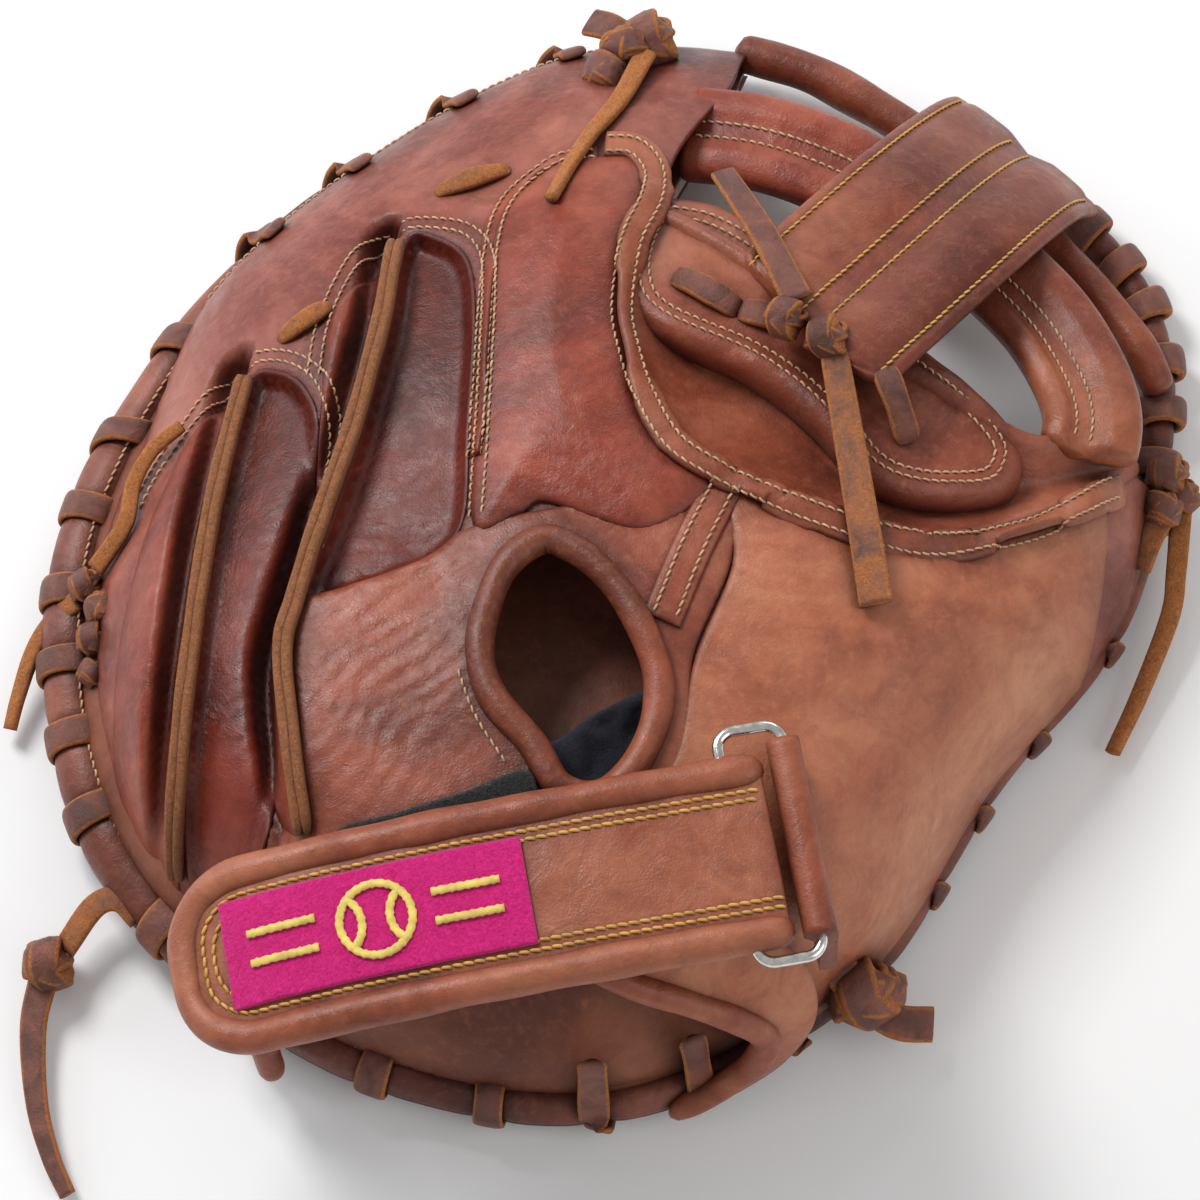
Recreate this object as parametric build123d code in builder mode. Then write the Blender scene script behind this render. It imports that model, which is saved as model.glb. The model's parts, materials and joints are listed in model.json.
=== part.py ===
from build123d import *
import os
from math import atan, cos, degrees, hypot, radians, sin, tan

# A left-hand baseball catcher's mitt lying on its palm. +Z is up through the back of the hand,
# +Y runs to the fingertips and +X to the thumb. The origin is on the table under the middle of
# the mitt. Lengths are millimetres and angles are degrees.

# ---------------------------------------------------------------- driving dimensions
# distance of the rim from the origin, every 30 degrees, counter-clockwise from +X
RIM_RADII = (124, 145, 141, 133, 124, 125, 134, 138, 141, 133, 119, 107)
# how boxy the back is above each of those rim points: 2 is an ellipse, more is steeper-sided
SQUARENESS = (2, 2, 2, 2, 2, 2, 2.6, 4.2, 4.5, 3.2, 3.2, 2.4)
CROWN = (-12, -50)  # plan position of the highest point of the back
LEVELS = (0, 0.3, 0.6, 0.8, 0.92, 0.985)  # share of the height at each level line of a dome

BACK_HEIGHT = 72
LEATHER = 4
GAP = 0.15  # clearance between layers of leather
SEAM = 0.8  # gap between the edges of neighbouring panels
PALM_HEIGHT = 32  # depth of the ball pocket plus one leather
PALM_PAD = 7.7
LINING = 2
PAD_INSET = 30  # the rim padding reaches this far in from the rim
PAD_FLOOR = 8
TRIM = 3.4  # thickness of bands, welts and bindings
WELT_WIDTH = 4
BAND_WIDTH = 7
HEEL_PAD_TOP = 27
WRIST_LINER = 3

FOLD_LOW = (60, -100)  # two plan points of the line about which the thumb side closes
FOLD_HIGH = (95, 105)
FOLD_AXIS_Z = 30
FOLD_FACE = 0.4  # distance from the fold to the cut face of each side
CLOSE_ANGLE = 25

STRAP_HINGE = (27, -89, 83)
STRAP_TURN = 10  # angle of the strap's length off the X axis
STRAP_RISE = ((0, 0), (65, -3), (105, -11), (130, -23))  # distance from the hinge, height above it
STRAP_LENGTH = 128
STRAP_WIDTH = 46
STRAP_THICKNESS = 4
STRAP_CORNER = 14
PIPING = 8
HOOK_PAD = 1.6
PATCH = 1.4
PATCH_WIDTH = 26
PATCH_SPAN = (46, 112)  # distances from the hinge at which the patch starts and ends
HOOK_SPAN = (50, 112)
RING_WIRE = 1.3  # radius of the ring's wire
RING_PITCH = 14.7  # between the ring's two long bars
RING_SPAN = 57
RING_CORNER = 4
RUNNING_CLEARANCE = 0.05
STRAP_END = 9.8  # the strap's folded end reaches this far past the bar it turns on
STRAP_FOLD = 7.2  # thickness of the folded end
TAB_RADIUS = 3.7
TAB_WIDTH = 46
TAB_DROP = 22
TAB_LEATHER = 3.4

LACE_WIDTH = 5
LACE_THICKNESS = 2.4
STITCH_PITCH = 19  # between rim lace runs
STITCH_HEIGHT = 15
STITCH_LEAN = 18
STITCH_MIDDLE = 10
KNOT = 11
BAR_WIDTH = 22
BAR_THICKNESS = 7
TUBE_RADIUS = 6
CROSSBAR_WIDTH = 38
CROSSBAR_THICKNESS = 6
GUSSET_HEIGHT = 59  # the leather that sinks under the web
WEB_CLEAR = 8  # the rim padding stops this far from the open web
BIG = 400

os.makedirs("parts", exist_ok=True)


# ---------------------------------------------------------------- domes and layers
def rim_point(index, inset=0.0):
    """Plan point of one node of the rim."""
    radius = RIM_RADII[index % 12] - inset
    return radius * cos(radians(30 * index)), radius * sin(radians(30 * index))


def level_line(level, inset):
    """Plan points of a dome's contour at a share of its height."""
    points = []
    for i in range(12):
        x, y = rim_point(i, inset)
        shrink = (1 - level**2) ** (1 / SQUARENESS[i])
        points.append((CROWN[0] + shrink * (x - CROWN[0]), CROWN[1] + shrink * (y - CROWN[1])))
    return points


def dome(height, inset):
    """Closed solid under a dome that stands on the rim outline moved in by the inset."""
    with BuildPart() as solid:
        for level in LEVELS:
            with BuildSketch(Plane.XY.offset(height * level)):
                with BuildLine():
                    Spline(*level_line(level, inset), periodic=True)
                make_face()
        loft()
    return solid.part


def layer(height, inset, thickness):
    """Curved sheet between two nested domes."""
    with BuildPart() as sheet:
        add(dome(height, inset))
        add(dome(height - thickness, inset + thickness), mode=Mode.SUBTRACT)
    return sheet.part


# ---------------------------------------------------------------- plan regions
def grown(outline, distance=SEAM):
    """Closed plan outline, listed clockwise or not, with each point moved outward."""
    count = len(outline)
    pairs = [(outline[i], outline[(i + 1) % count]) for i in range(count)]
    turn = 1 if sum(p[0] * q[1] - q[0] * p[1] for p, q in pairs) > 0 else -1
    points = []
    for i, (x, y) in enumerate(outline):
        ahead = outline[(i + 1) % count]
        behind = outline[i - 1]
        along = (ahead[0] - behind[0], ahead[1] - behind[1])
        scale = turn * distance / hypot(*along)
        points.append((x + along[1] * scale, y - along[0] * scale))
    return points


def region(keep, away=()):
    """Tall solid over a closed plan outline, less its neighbours' outlines and a seam gap round them."""
    with BuildPart() as tall:
        with BuildSketch(Plane.XY.offset(-BIG / 2)):
            with BuildLine():
                Spline(*keep, periodic=True)
            make_face()
            for outline in away:
                with BuildLine():
                    Spline(*grown(outline), periodic=True)
                make_face(mode=Mode.SUBTRACT)
        extrude(amount=BIG)
    return tall.part


def corner_region(points):
    """Tall solid over a plan polygon with straight sides."""
    with BuildPart() as tall:
        with BuildSketch(Plane.XY.offset(-BIG / 2)):
            with BuildLine():
                Polyline(*points, close=True)
            make_face()
        extrude(amount=BIG)
    return tall.part


def ribbon(points, width):
    """Tall solid over a band that follows an open plan curve."""
    with BuildPart() as tall:
        with BuildSketch(Plane.XY.offset(-BIG / 2)):
            with BuildLine() as path:
                Spline(*points)
            trace(path.line, line_width=width)
        extrude(amount=BIG)
    return tall.part


def cut(sheet, keep=(), away=()):
    """Part of a sheet inside every solid of keep and outside every solid of away."""
    with BuildPart() as panel:
        add(sheet)
        for solid in keep:
            add(solid, mode=Mode.INTERSECT)
        for solid in away:
            add(solid, mode=Mode.SUBTRACT)
    return panel.part


def save(part, name):
    """Labels a finished piece and writes it as its own STEP file."""
    part.label = name
    export_step(part, f"parts/{name}.step")


# ---------------------------------------------------------------- the fold
fold_length = hypot(FOLD_HIGH[0] - FOLD_LOW[0], FOLD_HIGH[1] - FOLD_LOW[1])
FOLD_ALONG = ((FOLD_HIGH[0] - FOLD_LOW[0]) / fold_length, (FOLD_HIGH[1] - FOLD_LOW[1]) / fold_length)
FOLD_PLANE = Plane(
    origin=(FOLD_LOW[0], FOLD_LOW[1], 0),
    x_dir=(FOLD_ALONG[1], -FOLD_ALONG[0], 0),
    z_dir=(-FOLD_ALONG[0], -FOLD_ALONG[1], 0),
)


def fold_side(points):
    """Everything on one side of the fold, from its section across the fold."""
    with BuildPart() as space:
        with BuildSketch(FOLD_PLANE):
            with BuildLine():
                Polyline(*points, close=True)
            make_face()
        extrude(amount=BIG, both=True)
    return space.part


FINGER_SIDE = fold_side([(-FOLD_FACE, -BIG), (-FOLD_FACE, BIG), (-BIG, BIG), (-BIG, -BIG)])
# under the axis the thumb side is cut back, so that it can turn down without touching the finger side
relief = FOLD_FACE + (FOLD_AXIS_Z + BIG) * tan(radians(CLOSE_ANGLE + 1))
THUMB_SIDE = fold_side(
    [(FOLD_FACE, FOLD_AXIS_Z), (FOLD_FACE, BIG), (2 * BIG, BIG), (2 * BIG, -BIG), (relief, -BIG)]
)

# ---------------------------------------------------------------- plan outlines
WEB_WINDOW = ((12, 66), (14, 96), (28, 122), (44, 150), (110, 150), (160, 110), (152, 34), (122, 30),
              (96, 26), (66, 44), (36, 66))
WRIST_WINDOW = ((-66, -84), (0, -84), (30, -106), (26, -150), (-92, -150), (-80, -116))
HAND_HOLE = ((-17, -8), (-27, -16), (-32, -36), (-27, -56), (-12, -71), (6, -58), (11, -41), (4, -26))
PINKY_STALL = ((-91, 40), (-101, 28), (-110, 4), (-115, -16), (-118, -40), (-118, -61), (-110, -72),
               (-103, -62), (-100, -34), (-97, -7), (-94, 18))
RING_INSERT = ((-88, 41), (-81, 42), (-74, 36), (-70, 24), (-71, 2), (-76, -20), (-79, -40), (-78, -66),
               (-90, -76), (-104, -62), (-102, -30), (-98, 4))
MIDDLE_STALL = ((-54, 74), (-64, 62), (-69, 50), (-71, 26), (-73, 2), (-78, -20), (-80, -44), (-76, -72),
                (-70, -76), (-70, -50), (-70, -22), (-64, 4), (-58, 28), (-54, 54))
INDEX_INSERT = ((-51, 77), (-42, 76), (-35, 68), (-33, 50), (-34, 20), (-36, -7), (-51, -17), (-66, -24),
                (-68, -8), (-62, 16), (-58, 40))
INDEX_STALL = ((-4, 98), (-15, 97), (-26, 85), (-30, 67), (-32, 28), (-33, -10), (-14, -12), (8, -6),
               (24, 4), (16, 16), (6, 30), (2, 52), (6, 70), (9, 83), (6, 94))
HAND_BACK = ((-36, -6), (-14, -2), (10, 2), (28, 4), (27, -16), (18, -40), (18, -64), (6, -82),
             (-30, -82), (-62, -82), (-74, -70), (-72, -44), (-68, -20), (-50, -14))
THUMB_PANEL = ((30, 4), (51, -6), (75, -9), (101, -2), (124, 12), (132, -12), (122, -44), (100, -70),
               (80, -98), (60, -122), (38, -124), (26, -96), (16, -72), (16, -44), (26, -16))
POCKET_GUSSET = ((8, 64), (3, 50), (8, 28), (30, 6), (52, -6), (75, -10), (102, -2), (126, 16), (112, 26),
                 (94, 24), (68, 26), (46, 40), (26, 56))
WEB_BASE = ((1, 61), (6, 81), (20, 88), (37, 76), (68, 47), (87, 33), (96, 16), (90, 8), (68, 3),
            (44, 21), (20, 45))
SEAM_PATH = ((6, 93), (9, 83), (2, 52), (6, 30), (30, 6), (51, -6), (75, -9), (101, -1), (122, 12))
TIP_SEAM_PATH = ((-32, 26), (-30, 67), (-15, 95), (-2, 98))
THUMB_SEAM_PATH = ((27, -2), (21, -14), (15, -24))
PINKY_WELT_PATH = ((-89, 40), (-93, 20), (-97, -7), (-99, -34), (-101, -58))
MIDDLE_WELT_PATH = ((-53, 75), (-56, 49), (-62, 22), (-68, 0), (-75, -24), (-76, -60))
PINKY_FLAP_PATH = ((-68, -88), (-76, -104), (-86, -118))
THUMB_FLAP_PATH = ((33, -104), (34, -114), (31, -124))

back_leather = layer(BACK_HEIGHT, 0, LEATHER)
trim_sheet = layer(BACK_HEIGHT + GAP + TRIM, -GAP - TRIM, TRIM)
web_window = region(WEB_WINDOW)
wrist_window = corner_region(WRIST_WINDOW)
hand_hole = region(HAND_HOLE)

# ---------------------------------------------------------------- palm, padding and lining
palm_sheet = cut(layer(PALM_HEIGHT, LEATHER + GAP, LEATHER), away=[web_window])
save(cut(palm_sheet, [FINGER_SIDE]), "palm_leather")
save(cut(palm_sheet, [THUMB_SIDE]), "palm_leather_thumb_side")

inner_outline = region([rim_point(i, PAD_INSET + GAP) for i in range(12)])
outer_outline = region([rim_point(i, PAD_INSET) for i in range(12)])
pad_inset = LEATHER - PALM_PAD
pad_sheet = layer(PALM_HEIGHT + GAP + PALM_PAD, pad_inset, PALM_PAD)
save(cut(pad_sheet, [inner_outline, FINGER_SIDE], [web_window]), "palm_pad")
lining_height = PALM_HEIGHT + PALM_PAD + LINING + 2 * GAP
lining_sheet = layer(lining_height, pad_inset - GAP - LINING, LINING)
save(cut(lining_sheet, [inner_outline, FINGER_SIDE], [web_window]), "palm_lining")

with BuildPart() as above_floor:
    with Locations((0, 0, PAD_FLOOR)):
        Box(BIG, BIG, BIG, align=(Align.CENTER, Align.CENTER, Align.MIN))
rim_ring = cut(
    dome(BACK_HEIGHT - LEATHER - GAP, LEATHER + GAP),
    [above_floor.part],
    [
        dome(PALM_HEIGHT + GAP, LEATHER),
        outer_outline,
        region(grown(WEB_WINDOW, WEB_CLEAR)),
        region(grown(POCKET_GUSSET)),
    ],
)
with BuildPart() as heel_air:
    with BuildSketch(Plane.XY.offset(HEEL_PAD_TOP)):
        with BuildLine():
            Polyline(*WRIST_WINDOW, close=True)
        make_face()
    extrude(amount=BIG)
save(cut(rim_ring, [FINGER_SIDE], [heel_air.part]), "rim_pad")
save(cut(rim_ring, [THUMB_SIDE]), "rim_pad_thumb_side")

with BuildPart() as heel_lining:
    with BuildSketch(Plane.XY.offset(HEEL_PAD_TOP + GAP)):
        with BuildLine():
            Polyline(*WRIST_WINDOW, close=True)
        make_face()
    extrude(amount=LINING)
    add(rim_ring, mode=Mode.INTERSECT)
save(heel_lining.part, "heel_lining")

liner_sheet = layer(BACK_HEIGHT - LEATHER - 2 * GAP, LEATHER + 2 * GAP, WRIST_LINER)
WRIST_LINER_OUTLINE = ((-42, -58), (-10, -64), (22, -52), (30, -76), (0, -88), (-44, -88))
save(cut(liner_sheet, [region(WRIST_LINER_OUTLINE)]), "wrist_liner")

# ---------------------------------------------------------------- back of the hand
save(cut(back_leather, [region(PINKY_STALL)]), "pinky_stall")
save(cut(back_leather, [region(RING_INSERT, [PINKY_STALL])]), "ring_finger_insert")
save(cut(back_leather, [region(MIDDLE_STALL, [RING_INSERT, PINKY_STALL])]), "middle_stall")
save(cut(back_leather, [region(INDEX_INSERT, [MIDDLE_STALL])]), "index_finger_insert")
save(cut(back_leather, [region(INDEX_STALL, [INDEX_INSERT, HAND_HOLE])]), "index_stall")
hand_back_away = [INDEX_STALL, INDEX_INSERT, MIDDLE_STALL, RING_INSERT, HAND_HOLE]
save(cut(back_leather, [region(HAND_BACK, hand_back_away)]), "hand_back")

thumb_region = region(THUMB_PANEL, [INDEX_STALL, HAND_BACK])
save(cut(back_leather, [thumb_region, FINGER_SIDE], [wrist_window]), "thumb_base_panel")
save(cut(back_leather, [thumb_region, THUMB_SIDE]), "thumb_panel")
gusset_sheet = layer(GUSSET_HEIGHT, LEATHER, LEATHER)
gusset_outline = region(POCKET_GUSSET)
palm_space = dome(PALM_HEIGHT + GAP, LEATHER)
save(cut(gusset_sheet, [gusset_outline, FINGER_SIDE], [palm_space]), "pocket_gusset")
save(cut(gusset_sheet, [gusset_outline, THUMB_SIDE], [palm_space]), "pocket_gusset_thumb_side")

BAND_SIDE = ((-BIG, -BIG), (-84, -BIG), (-80, -116), (-66, -84), (-50, -40), (-20, 40), (0, 90),
             (14, 100), (28, 122), (60, BIG), (-BIG, BIG))
with BuildPart() as band_space:
    with BuildSketch(Plane.XY.offset(-BIG / 2)):
        with BuildLine():
            Polyline(*BAND_SIDE, close=True)
        make_face()
        for outline in (PINKY_STALL, RING_INSERT, MIDDLE_STALL, INDEX_INSERT, INDEX_STALL, HAND_BACK):
            with BuildLine():
                Spline(*grown(outline), periodic=True)
            make_face(mode=Mode.SUBTRACT)
    extrude(amount=BIG)
save(cut(back_leather, [band_space.part]), "fingertip_band")

# ---------------------------------------------------------------- welts, seam bands and bindings
save(cut(trim_sheet, [ribbon(PINKY_WELT_PATH, WELT_WIDTH)]), "pinky_welt")
save(cut(trim_sheet, [ribbon(MIDDLE_WELT_PATH, WELT_WIDTH)]), "middle_welt")
save(cut(trim_sheet, [ribbon(TIP_SEAM_PATH, BAND_WIDTH)]), "fingertip_seam_band")
seam_band = ribbon(SEAM_PATH, BAND_WIDTH)
save(cut(trim_sheet, [seam_band, FINGER_SIDE]), "seam_band")
save(cut(trim_sheet, [seam_band, THUMB_SIDE]), "seam_band_thumb_side")
save(cut(trim_sheet, [ribbon(THUMB_SEAM_PATH, BAND_WIDTH + 2)], [ribbon(SEAM_PATH, BAND_WIDTH + 1)]),
     "thumb_seam_strip")
save(cut(trim_sheet, [ribbon(PINKY_FLAP_PATH, BAND_WIDTH)]), "pinky_flap_binding")
save(cut(trim_sheet, [ribbon(THUMB_FLAP_PATH, BAND_WIDTH)]), "thumb_flap_binding")

# ---------------------------------------------------------------- web
def span(low, high, width, thickness):
    """Rolled leather bar between two points, its width kept level."""
    along = (Vector(*high) - Vector(*low)).normalized()
    with BuildPart() as bar:
        with BuildSketch(Plane(origin=low, x_dir=Vector(-along.Y, along.X, 0), z_dir=along)):
            RectangleRounded(width, thickness, thickness * 0.48)
        extrude(amount=(Vector(*high) - Vector(*low)).length)
    return bar.part


web_base_sheet = layer(BACK_HEIGHT - LEATHER - GAP, LEATHER + GAP, LEATHER)
save(cut(web_base_sheet, [region(WEB_BASE)]), "web_base_pad")
save(span((25, 101, 28), (50, 90, 31), BAR_WIDTH, BAR_THICKNESS), "web_index_bar")
save(span((92, 64, 25), (111, 31, 23), BAR_WIDTH, BAR_THICKNESS), "web_thumb_bar")
save(span((58, 67, 49), (94, 113, 20), CROSSBAR_WIDTH, CROSSBAR_THICKNESS), "web_crossbar")
save(span((36, 132, 10), (73, 113, 12), 2 * TUBE_RADIUS, 2 * TUBE_RADIUS), "web_top_tube")
save(span((106, 84, 9), (129, 42, 9), 2 * TUBE_RADIUS, 2 * TUBE_RADIUS), "web_outer_tube")


# ---------------------------------------------------------------- wrist strap and ring
HINGE_ALONG = Vector(-sin(radians(STRAP_TURN)), cos(radians(STRAP_TURN)), 0)
STRAP_PLANE = Plane(
    origin=STRAP_HINGE,
    x_dir=(-cos(radians(STRAP_TURN)), -sin(radians(STRAP_TURN)), 0),
    z_dir=HINGE_ALONG,
)
STRAP_PLAN = Plane(
    origin=(STRAP_HINGE[0], STRAP_HINGE[1], 0), x_dir=STRAP_PLANE.x_dir, z_dir=(0, 0, 1)
)


def strap_sheet(middle, thickness, width):
    """Curved sheet that follows the strap; middle is its height above the strap's own middle."""
    low = [(s, h + middle - thickness / 2) for s, h in STRAP_RISE]
    high = [(s, h + middle + thickness / 2) for s, h in STRAP_RISE]
    with BuildPart() as sheet:
        with BuildSketch(STRAP_PLANE):
            with BuildLine():
                Spline(*low)
                Spline(*high)
                Line(low[0], high[0])
                Line(low[-1], high[-1])
            make_face()
        extrude(amount=width / 2, both=True)
    return sheet.part


def strap_window(start, end, width, corner):
    """Tall block over a round-cornered stretch of the strap, from start to end along it."""
    with BuildPart() as block:
        with BuildSketch(STRAP_PLAN.offset(-BIG / 2)):
            with Locations(((start + end) / 2, 0)):
                RectangleRounded(end - start, width, corner)
        extrude(amount=BIG)
    return block.part


def half_window(start, width):
    """Tall block over the strap from a straight start line on."""
    with BuildPart() as block:
        with BuildSketch(STRAP_PLAN.offset(-BIG / 2)):
            with Locations((start + BIG / 2, 0)):
                Rectangle(BIG, width)
        extrude(amount=BIG)
    return block.part


outer_window = strap_window(-STRAP_LENGTH, STRAP_LENGTH, STRAP_WIDTH, STRAP_CORNER)
inner_end = STRAP_LENGTH - PIPING
inner_window = strap_window(-inner_end, inner_end, STRAP_WIDTH - 2 * PIPING, STRAP_CORNER - PIPING)
gap_window = strap_window(
    -inner_end - GAP, inner_end + GAP, STRAP_WIDTH - 2 * (PIPING - GAP), STRAP_CORNER - PIPING + GAP
)
with BuildPart() as wrist_strap:
    add(strap_sheet(0, STRAP_THICKNESS, STRAP_WIDTH))
    add(inner_window, mode=Mode.INTERSECT)
    with BuildSketch(STRAP_PLANE):
        with Locations((-(STRAP_END - STRAP_FOLD / 2) / 2, 0)):
            SlotOverall(STRAP_END + STRAP_FOLD / 2, STRAP_FOLD)
    extrude(amount=STRAP_WIDTH / 2 - 1, both=True)
    with BuildSketch(STRAP_PLANE):
        Circle(RING_WIRE + RUNNING_CLEARANCE)
    extrude(amount=STRAP_WIDTH, both=True, mode=Mode.SUBTRACT)
save(wrist_strap.part, "wrist_strap")

strap_binding = cut(
    strap_sheet(0, PIPING - 1, STRAP_WIDTH), [outer_window, half_window(STRAP_FOLD, BIG)], [gap_window]
)
save(strap_binding, "strap_binding")
patch_middle = (STRAP_THICKNESS + PATCH) / 2 + GAP
patch_window = strap_window(*PATCH_SPAN, PATCH_WIDTH, 2)
save(cut(strap_sheet(patch_middle, PATCH, PATCH_WIDTH), [patch_window]), "strap_patch")
hook_middle = -(STRAP_THICKNESS + HOOK_PAD) / 2 - GAP
hook_window = strap_window(*HOOK_SPAN, PATCH_WIDTH, 2)
save(cut(strap_sheet(hook_middle, HOOK_PAD, PATCH_WIDTH), [hook_window]), "hook_pad")

with BuildSketch(Plane(origin=STRAP_HINGE, x_dir=STRAP_PLANE.x_dir, z_dir=(0, 0, 1))) as ring_outline:
    with Locations((-RING_PITCH / 2, 0)):
        RectangleRounded(RING_PITCH, RING_SPAN - 2 * RING_WIRE, RING_CORNER)
ring_path = ring_outline.sketch.face().outer_wire()
with BuildPart() as strap_ring:
    with BuildSketch(Plane(origin=ring_path @ 0, z_dir=ring_path % 0)):
        Circle(RING_WIRE)
    sweep(path=ring_path)
save(strap_ring.part, "strap_ring")

with BuildPart() as ring_tab:
    with BuildSketch(STRAP_PLANE):
        with Locations((-RING_PITCH, 0)):
            Circle(TAB_RADIUS)
        with Locations((-RING_PITCH - TAB_RADIUS + TAB_LEATHER / 2, -TAB_DROP / 2)):
            Rectangle(TAB_LEATHER, TAB_DROP)
        with Locations((-RING_PITCH, 0)):
            Circle(RING_WIRE + RUNNING_CLEARANCE, mode=Mode.SUBTRACT)
    extrude(amount=TAB_WIDTH / 2, both=True)
save(ring_tab.part, "ring_tab")

loop_outline = ((-64, -66), (-14, -58), (-10, -72), (-16, -84), (-60, -90), (-68, -78))
hole_clear = region(grown(HAND_HOLE, BAND_WIDTH + 2))
save(cut(trim_sheet, [region(loop_outline)], [hole_clear, ribbon(MIDDLE_WELT_PATH, 6)]), "loop_patch")
hole_binding_outline = region(grown(HAND_HOLE, BAND_WIDTH))
save(
    cut(trim_sheet, [hole_binding_outline], [hand_hole, ribbon(THUMB_SEAM_PATH, BAND_WIDTH + 4)]),
    "hand_hole_binding",
)


# ---------------------------------------------------------------- laces
def edge_radius(angle):
    """Distance of the rim from the origin in any direction."""
    low = int(angle // 30) % 12
    share = (angle % 30) / 30
    ease = share * share * (3 - 2 * share)
    return RIM_RADII[low] * (1 - ease) + RIM_RADII[(low + 1) % 12] * ease


def rim_lace(first, last):
    """Separate runs of the whip-stitched lace outside the rim, between two directions."""
    middle = edge_radius((first + last) / 2)
    count = round(radians(last - first) * middle / STITCH_PITCH)
    with BuildPart() as runs:
        for i in range(count):
            angle = first + (i + 0.5) * (last - first) / count
            radius = edge_radius(angle)
            turn = degrees(atan((edge_radius(angle + 3) - edge_radius(angle - 3)) / radians(6) / radius))
            with Locations(
                Location(
                    (radius * cos(radians(angle)), radius * sin(radians(angle)), STITCH_MIDDLE),
                    (0, 0, angle - turn),
                )
            ):
                with Locations(Location((LACE_THICKNESS / 2 + 1.2, 0, 0), (STITCH_LEAN, 0, 0))):
                    Box(LACE_THICKNESS, LACE_WIDTH, STITCH_HEIGHT)
    return runs.part


save(rim_lace(96, 212), "rim_lace_fingers")
save(rim_lace(234, 286), "rim_lace_heel")
save(rim_lace(308, 372), "rim_lace_thumb")


def tail(points, up=(0, 0, 1)):
    """Loose end of a lace along a 3-D curve."""
    with BuildPart() as strip:
        with BuildLine() as path:
            Spline(*points)
        along = path.line % 0
        with BuildSketch(Plane(origin=path.line @ 0, x_dir=along.cross(Vector(*up)), z_dir=along)):
            Rectangle(LACE_WIDTH, LACE_THICKNESS)
        sweep()
    return strip.part


def knot(centre, tails):
    """Tied lace: a rounded knot with its loose ends."""
    with BuildPart() as tied:
        with Locations(centre):
            Box(KNOT, KNOT, KNOT * 0.7)
        fillet(tied.edges(), radius=KNOT * 0.3)
        for points in tails:
            add(tail((centre, *points)))
    return tied.part


save(knot((46, 46, 66), [[(40, 62, 72), (27, 92, 70)], [(54, 14, 76), (60, -20, 74)]]), "web_knot")
save(knot((2, 143, 12), [[(-6, 118, 48), (-16, 86, 56)]]), "top_knot")
save(knot((139, 30, 12), [[(142, 2, 8), (126, -40, 4)]]), "thumb_knot")
save(knot((62, -112, 8), [[(72, -116, 8), (84, -116, 6)]]), "heel_knot")
save(knot((-132, -12, 16), [[(-137, -22, 8), (-142.4, -34, 4)]]), "pinky_knot")
save(knot((-134, -90, 8), [[(-138, -118, 4), (-131, -147.5, 3)]]), "corner_knot")
with BuildPart() as web_lace:
    for low, high in (((26, 68, 60), (32, 58, 62)), ((50, 40, 62), (56, 30, 62)), ((70, 42, 56), (76, 34, 56))):
        add(span(low, high, LACE_WIDTH, LACE_THICKNESS))
save(web_lace.part, "web_lace")
with BuildPart() as fingertip_lace:
    for low, high in (((-44, 92, 52), (-26, 97, 54)), ((-82, 52, 54), (-70, 60, 56))):
        add(span(low, high, LACE_WIDTH, LACE_THICKNESS))
save(fingertip_lace.part, "fingertip_lace")
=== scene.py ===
import bpy
import json
import math
import numpy as np
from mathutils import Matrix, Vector, geometry
from mathutils.bvhtree import BVHTree

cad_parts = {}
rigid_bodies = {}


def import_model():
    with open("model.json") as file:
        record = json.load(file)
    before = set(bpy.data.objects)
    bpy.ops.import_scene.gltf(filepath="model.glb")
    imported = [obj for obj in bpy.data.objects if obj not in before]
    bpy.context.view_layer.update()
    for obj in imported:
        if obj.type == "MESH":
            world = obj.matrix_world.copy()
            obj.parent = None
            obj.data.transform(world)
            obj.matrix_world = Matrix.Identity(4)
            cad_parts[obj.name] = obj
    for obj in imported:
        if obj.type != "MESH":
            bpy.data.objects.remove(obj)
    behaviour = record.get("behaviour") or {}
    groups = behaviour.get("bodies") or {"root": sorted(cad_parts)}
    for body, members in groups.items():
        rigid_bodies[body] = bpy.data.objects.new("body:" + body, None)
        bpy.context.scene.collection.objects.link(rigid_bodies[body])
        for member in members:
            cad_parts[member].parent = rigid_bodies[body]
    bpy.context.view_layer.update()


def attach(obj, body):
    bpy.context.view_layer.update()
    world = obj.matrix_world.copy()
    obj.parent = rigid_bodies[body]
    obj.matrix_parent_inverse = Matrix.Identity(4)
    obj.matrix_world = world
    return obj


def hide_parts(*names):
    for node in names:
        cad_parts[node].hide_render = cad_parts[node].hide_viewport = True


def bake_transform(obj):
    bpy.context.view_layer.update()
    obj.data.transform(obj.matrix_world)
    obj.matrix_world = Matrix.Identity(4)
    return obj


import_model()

MM = 0.001
RNG = np.random.default_rng(7)

# ---------------------------------------------------------------- the mitt's shape, in millimetres
# every 30 degrees from +x: reach of the rim, how boxy the dome is that way, and half width of the rolled rim
RIM_RADII = (130, 157, 153, 148, 132, 130, 139, 144.5, 139, 133.5, 118, 106.5)
SQUARENESS = (2, 2, 2, 2, 2, 2, 2.6, 4.2, 4.5, 3.2, 3.2, 2.4)
RIM_ROLL = (4.0, 4.2, 3.8, 3.6, 4.0, 5.6, 7.4, 7.2, 5.4, 4.8, 4.4, 4.0)
ROLL_LIFT = 3.0  # of the rolled rim above the floor
CROWN = np.array((-12.0, -50.0))  # the back's highest point
BACK_HEIGHT = 72
BACK_POWER = 0.56  # lower is fuller
# the strap's hinge on the ring, and the strap's turn from the x axis
STRAP_HINGE = np.array((27.0, -89.0, 83.0))
STRAP_TURN = math.radians(10)

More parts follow.
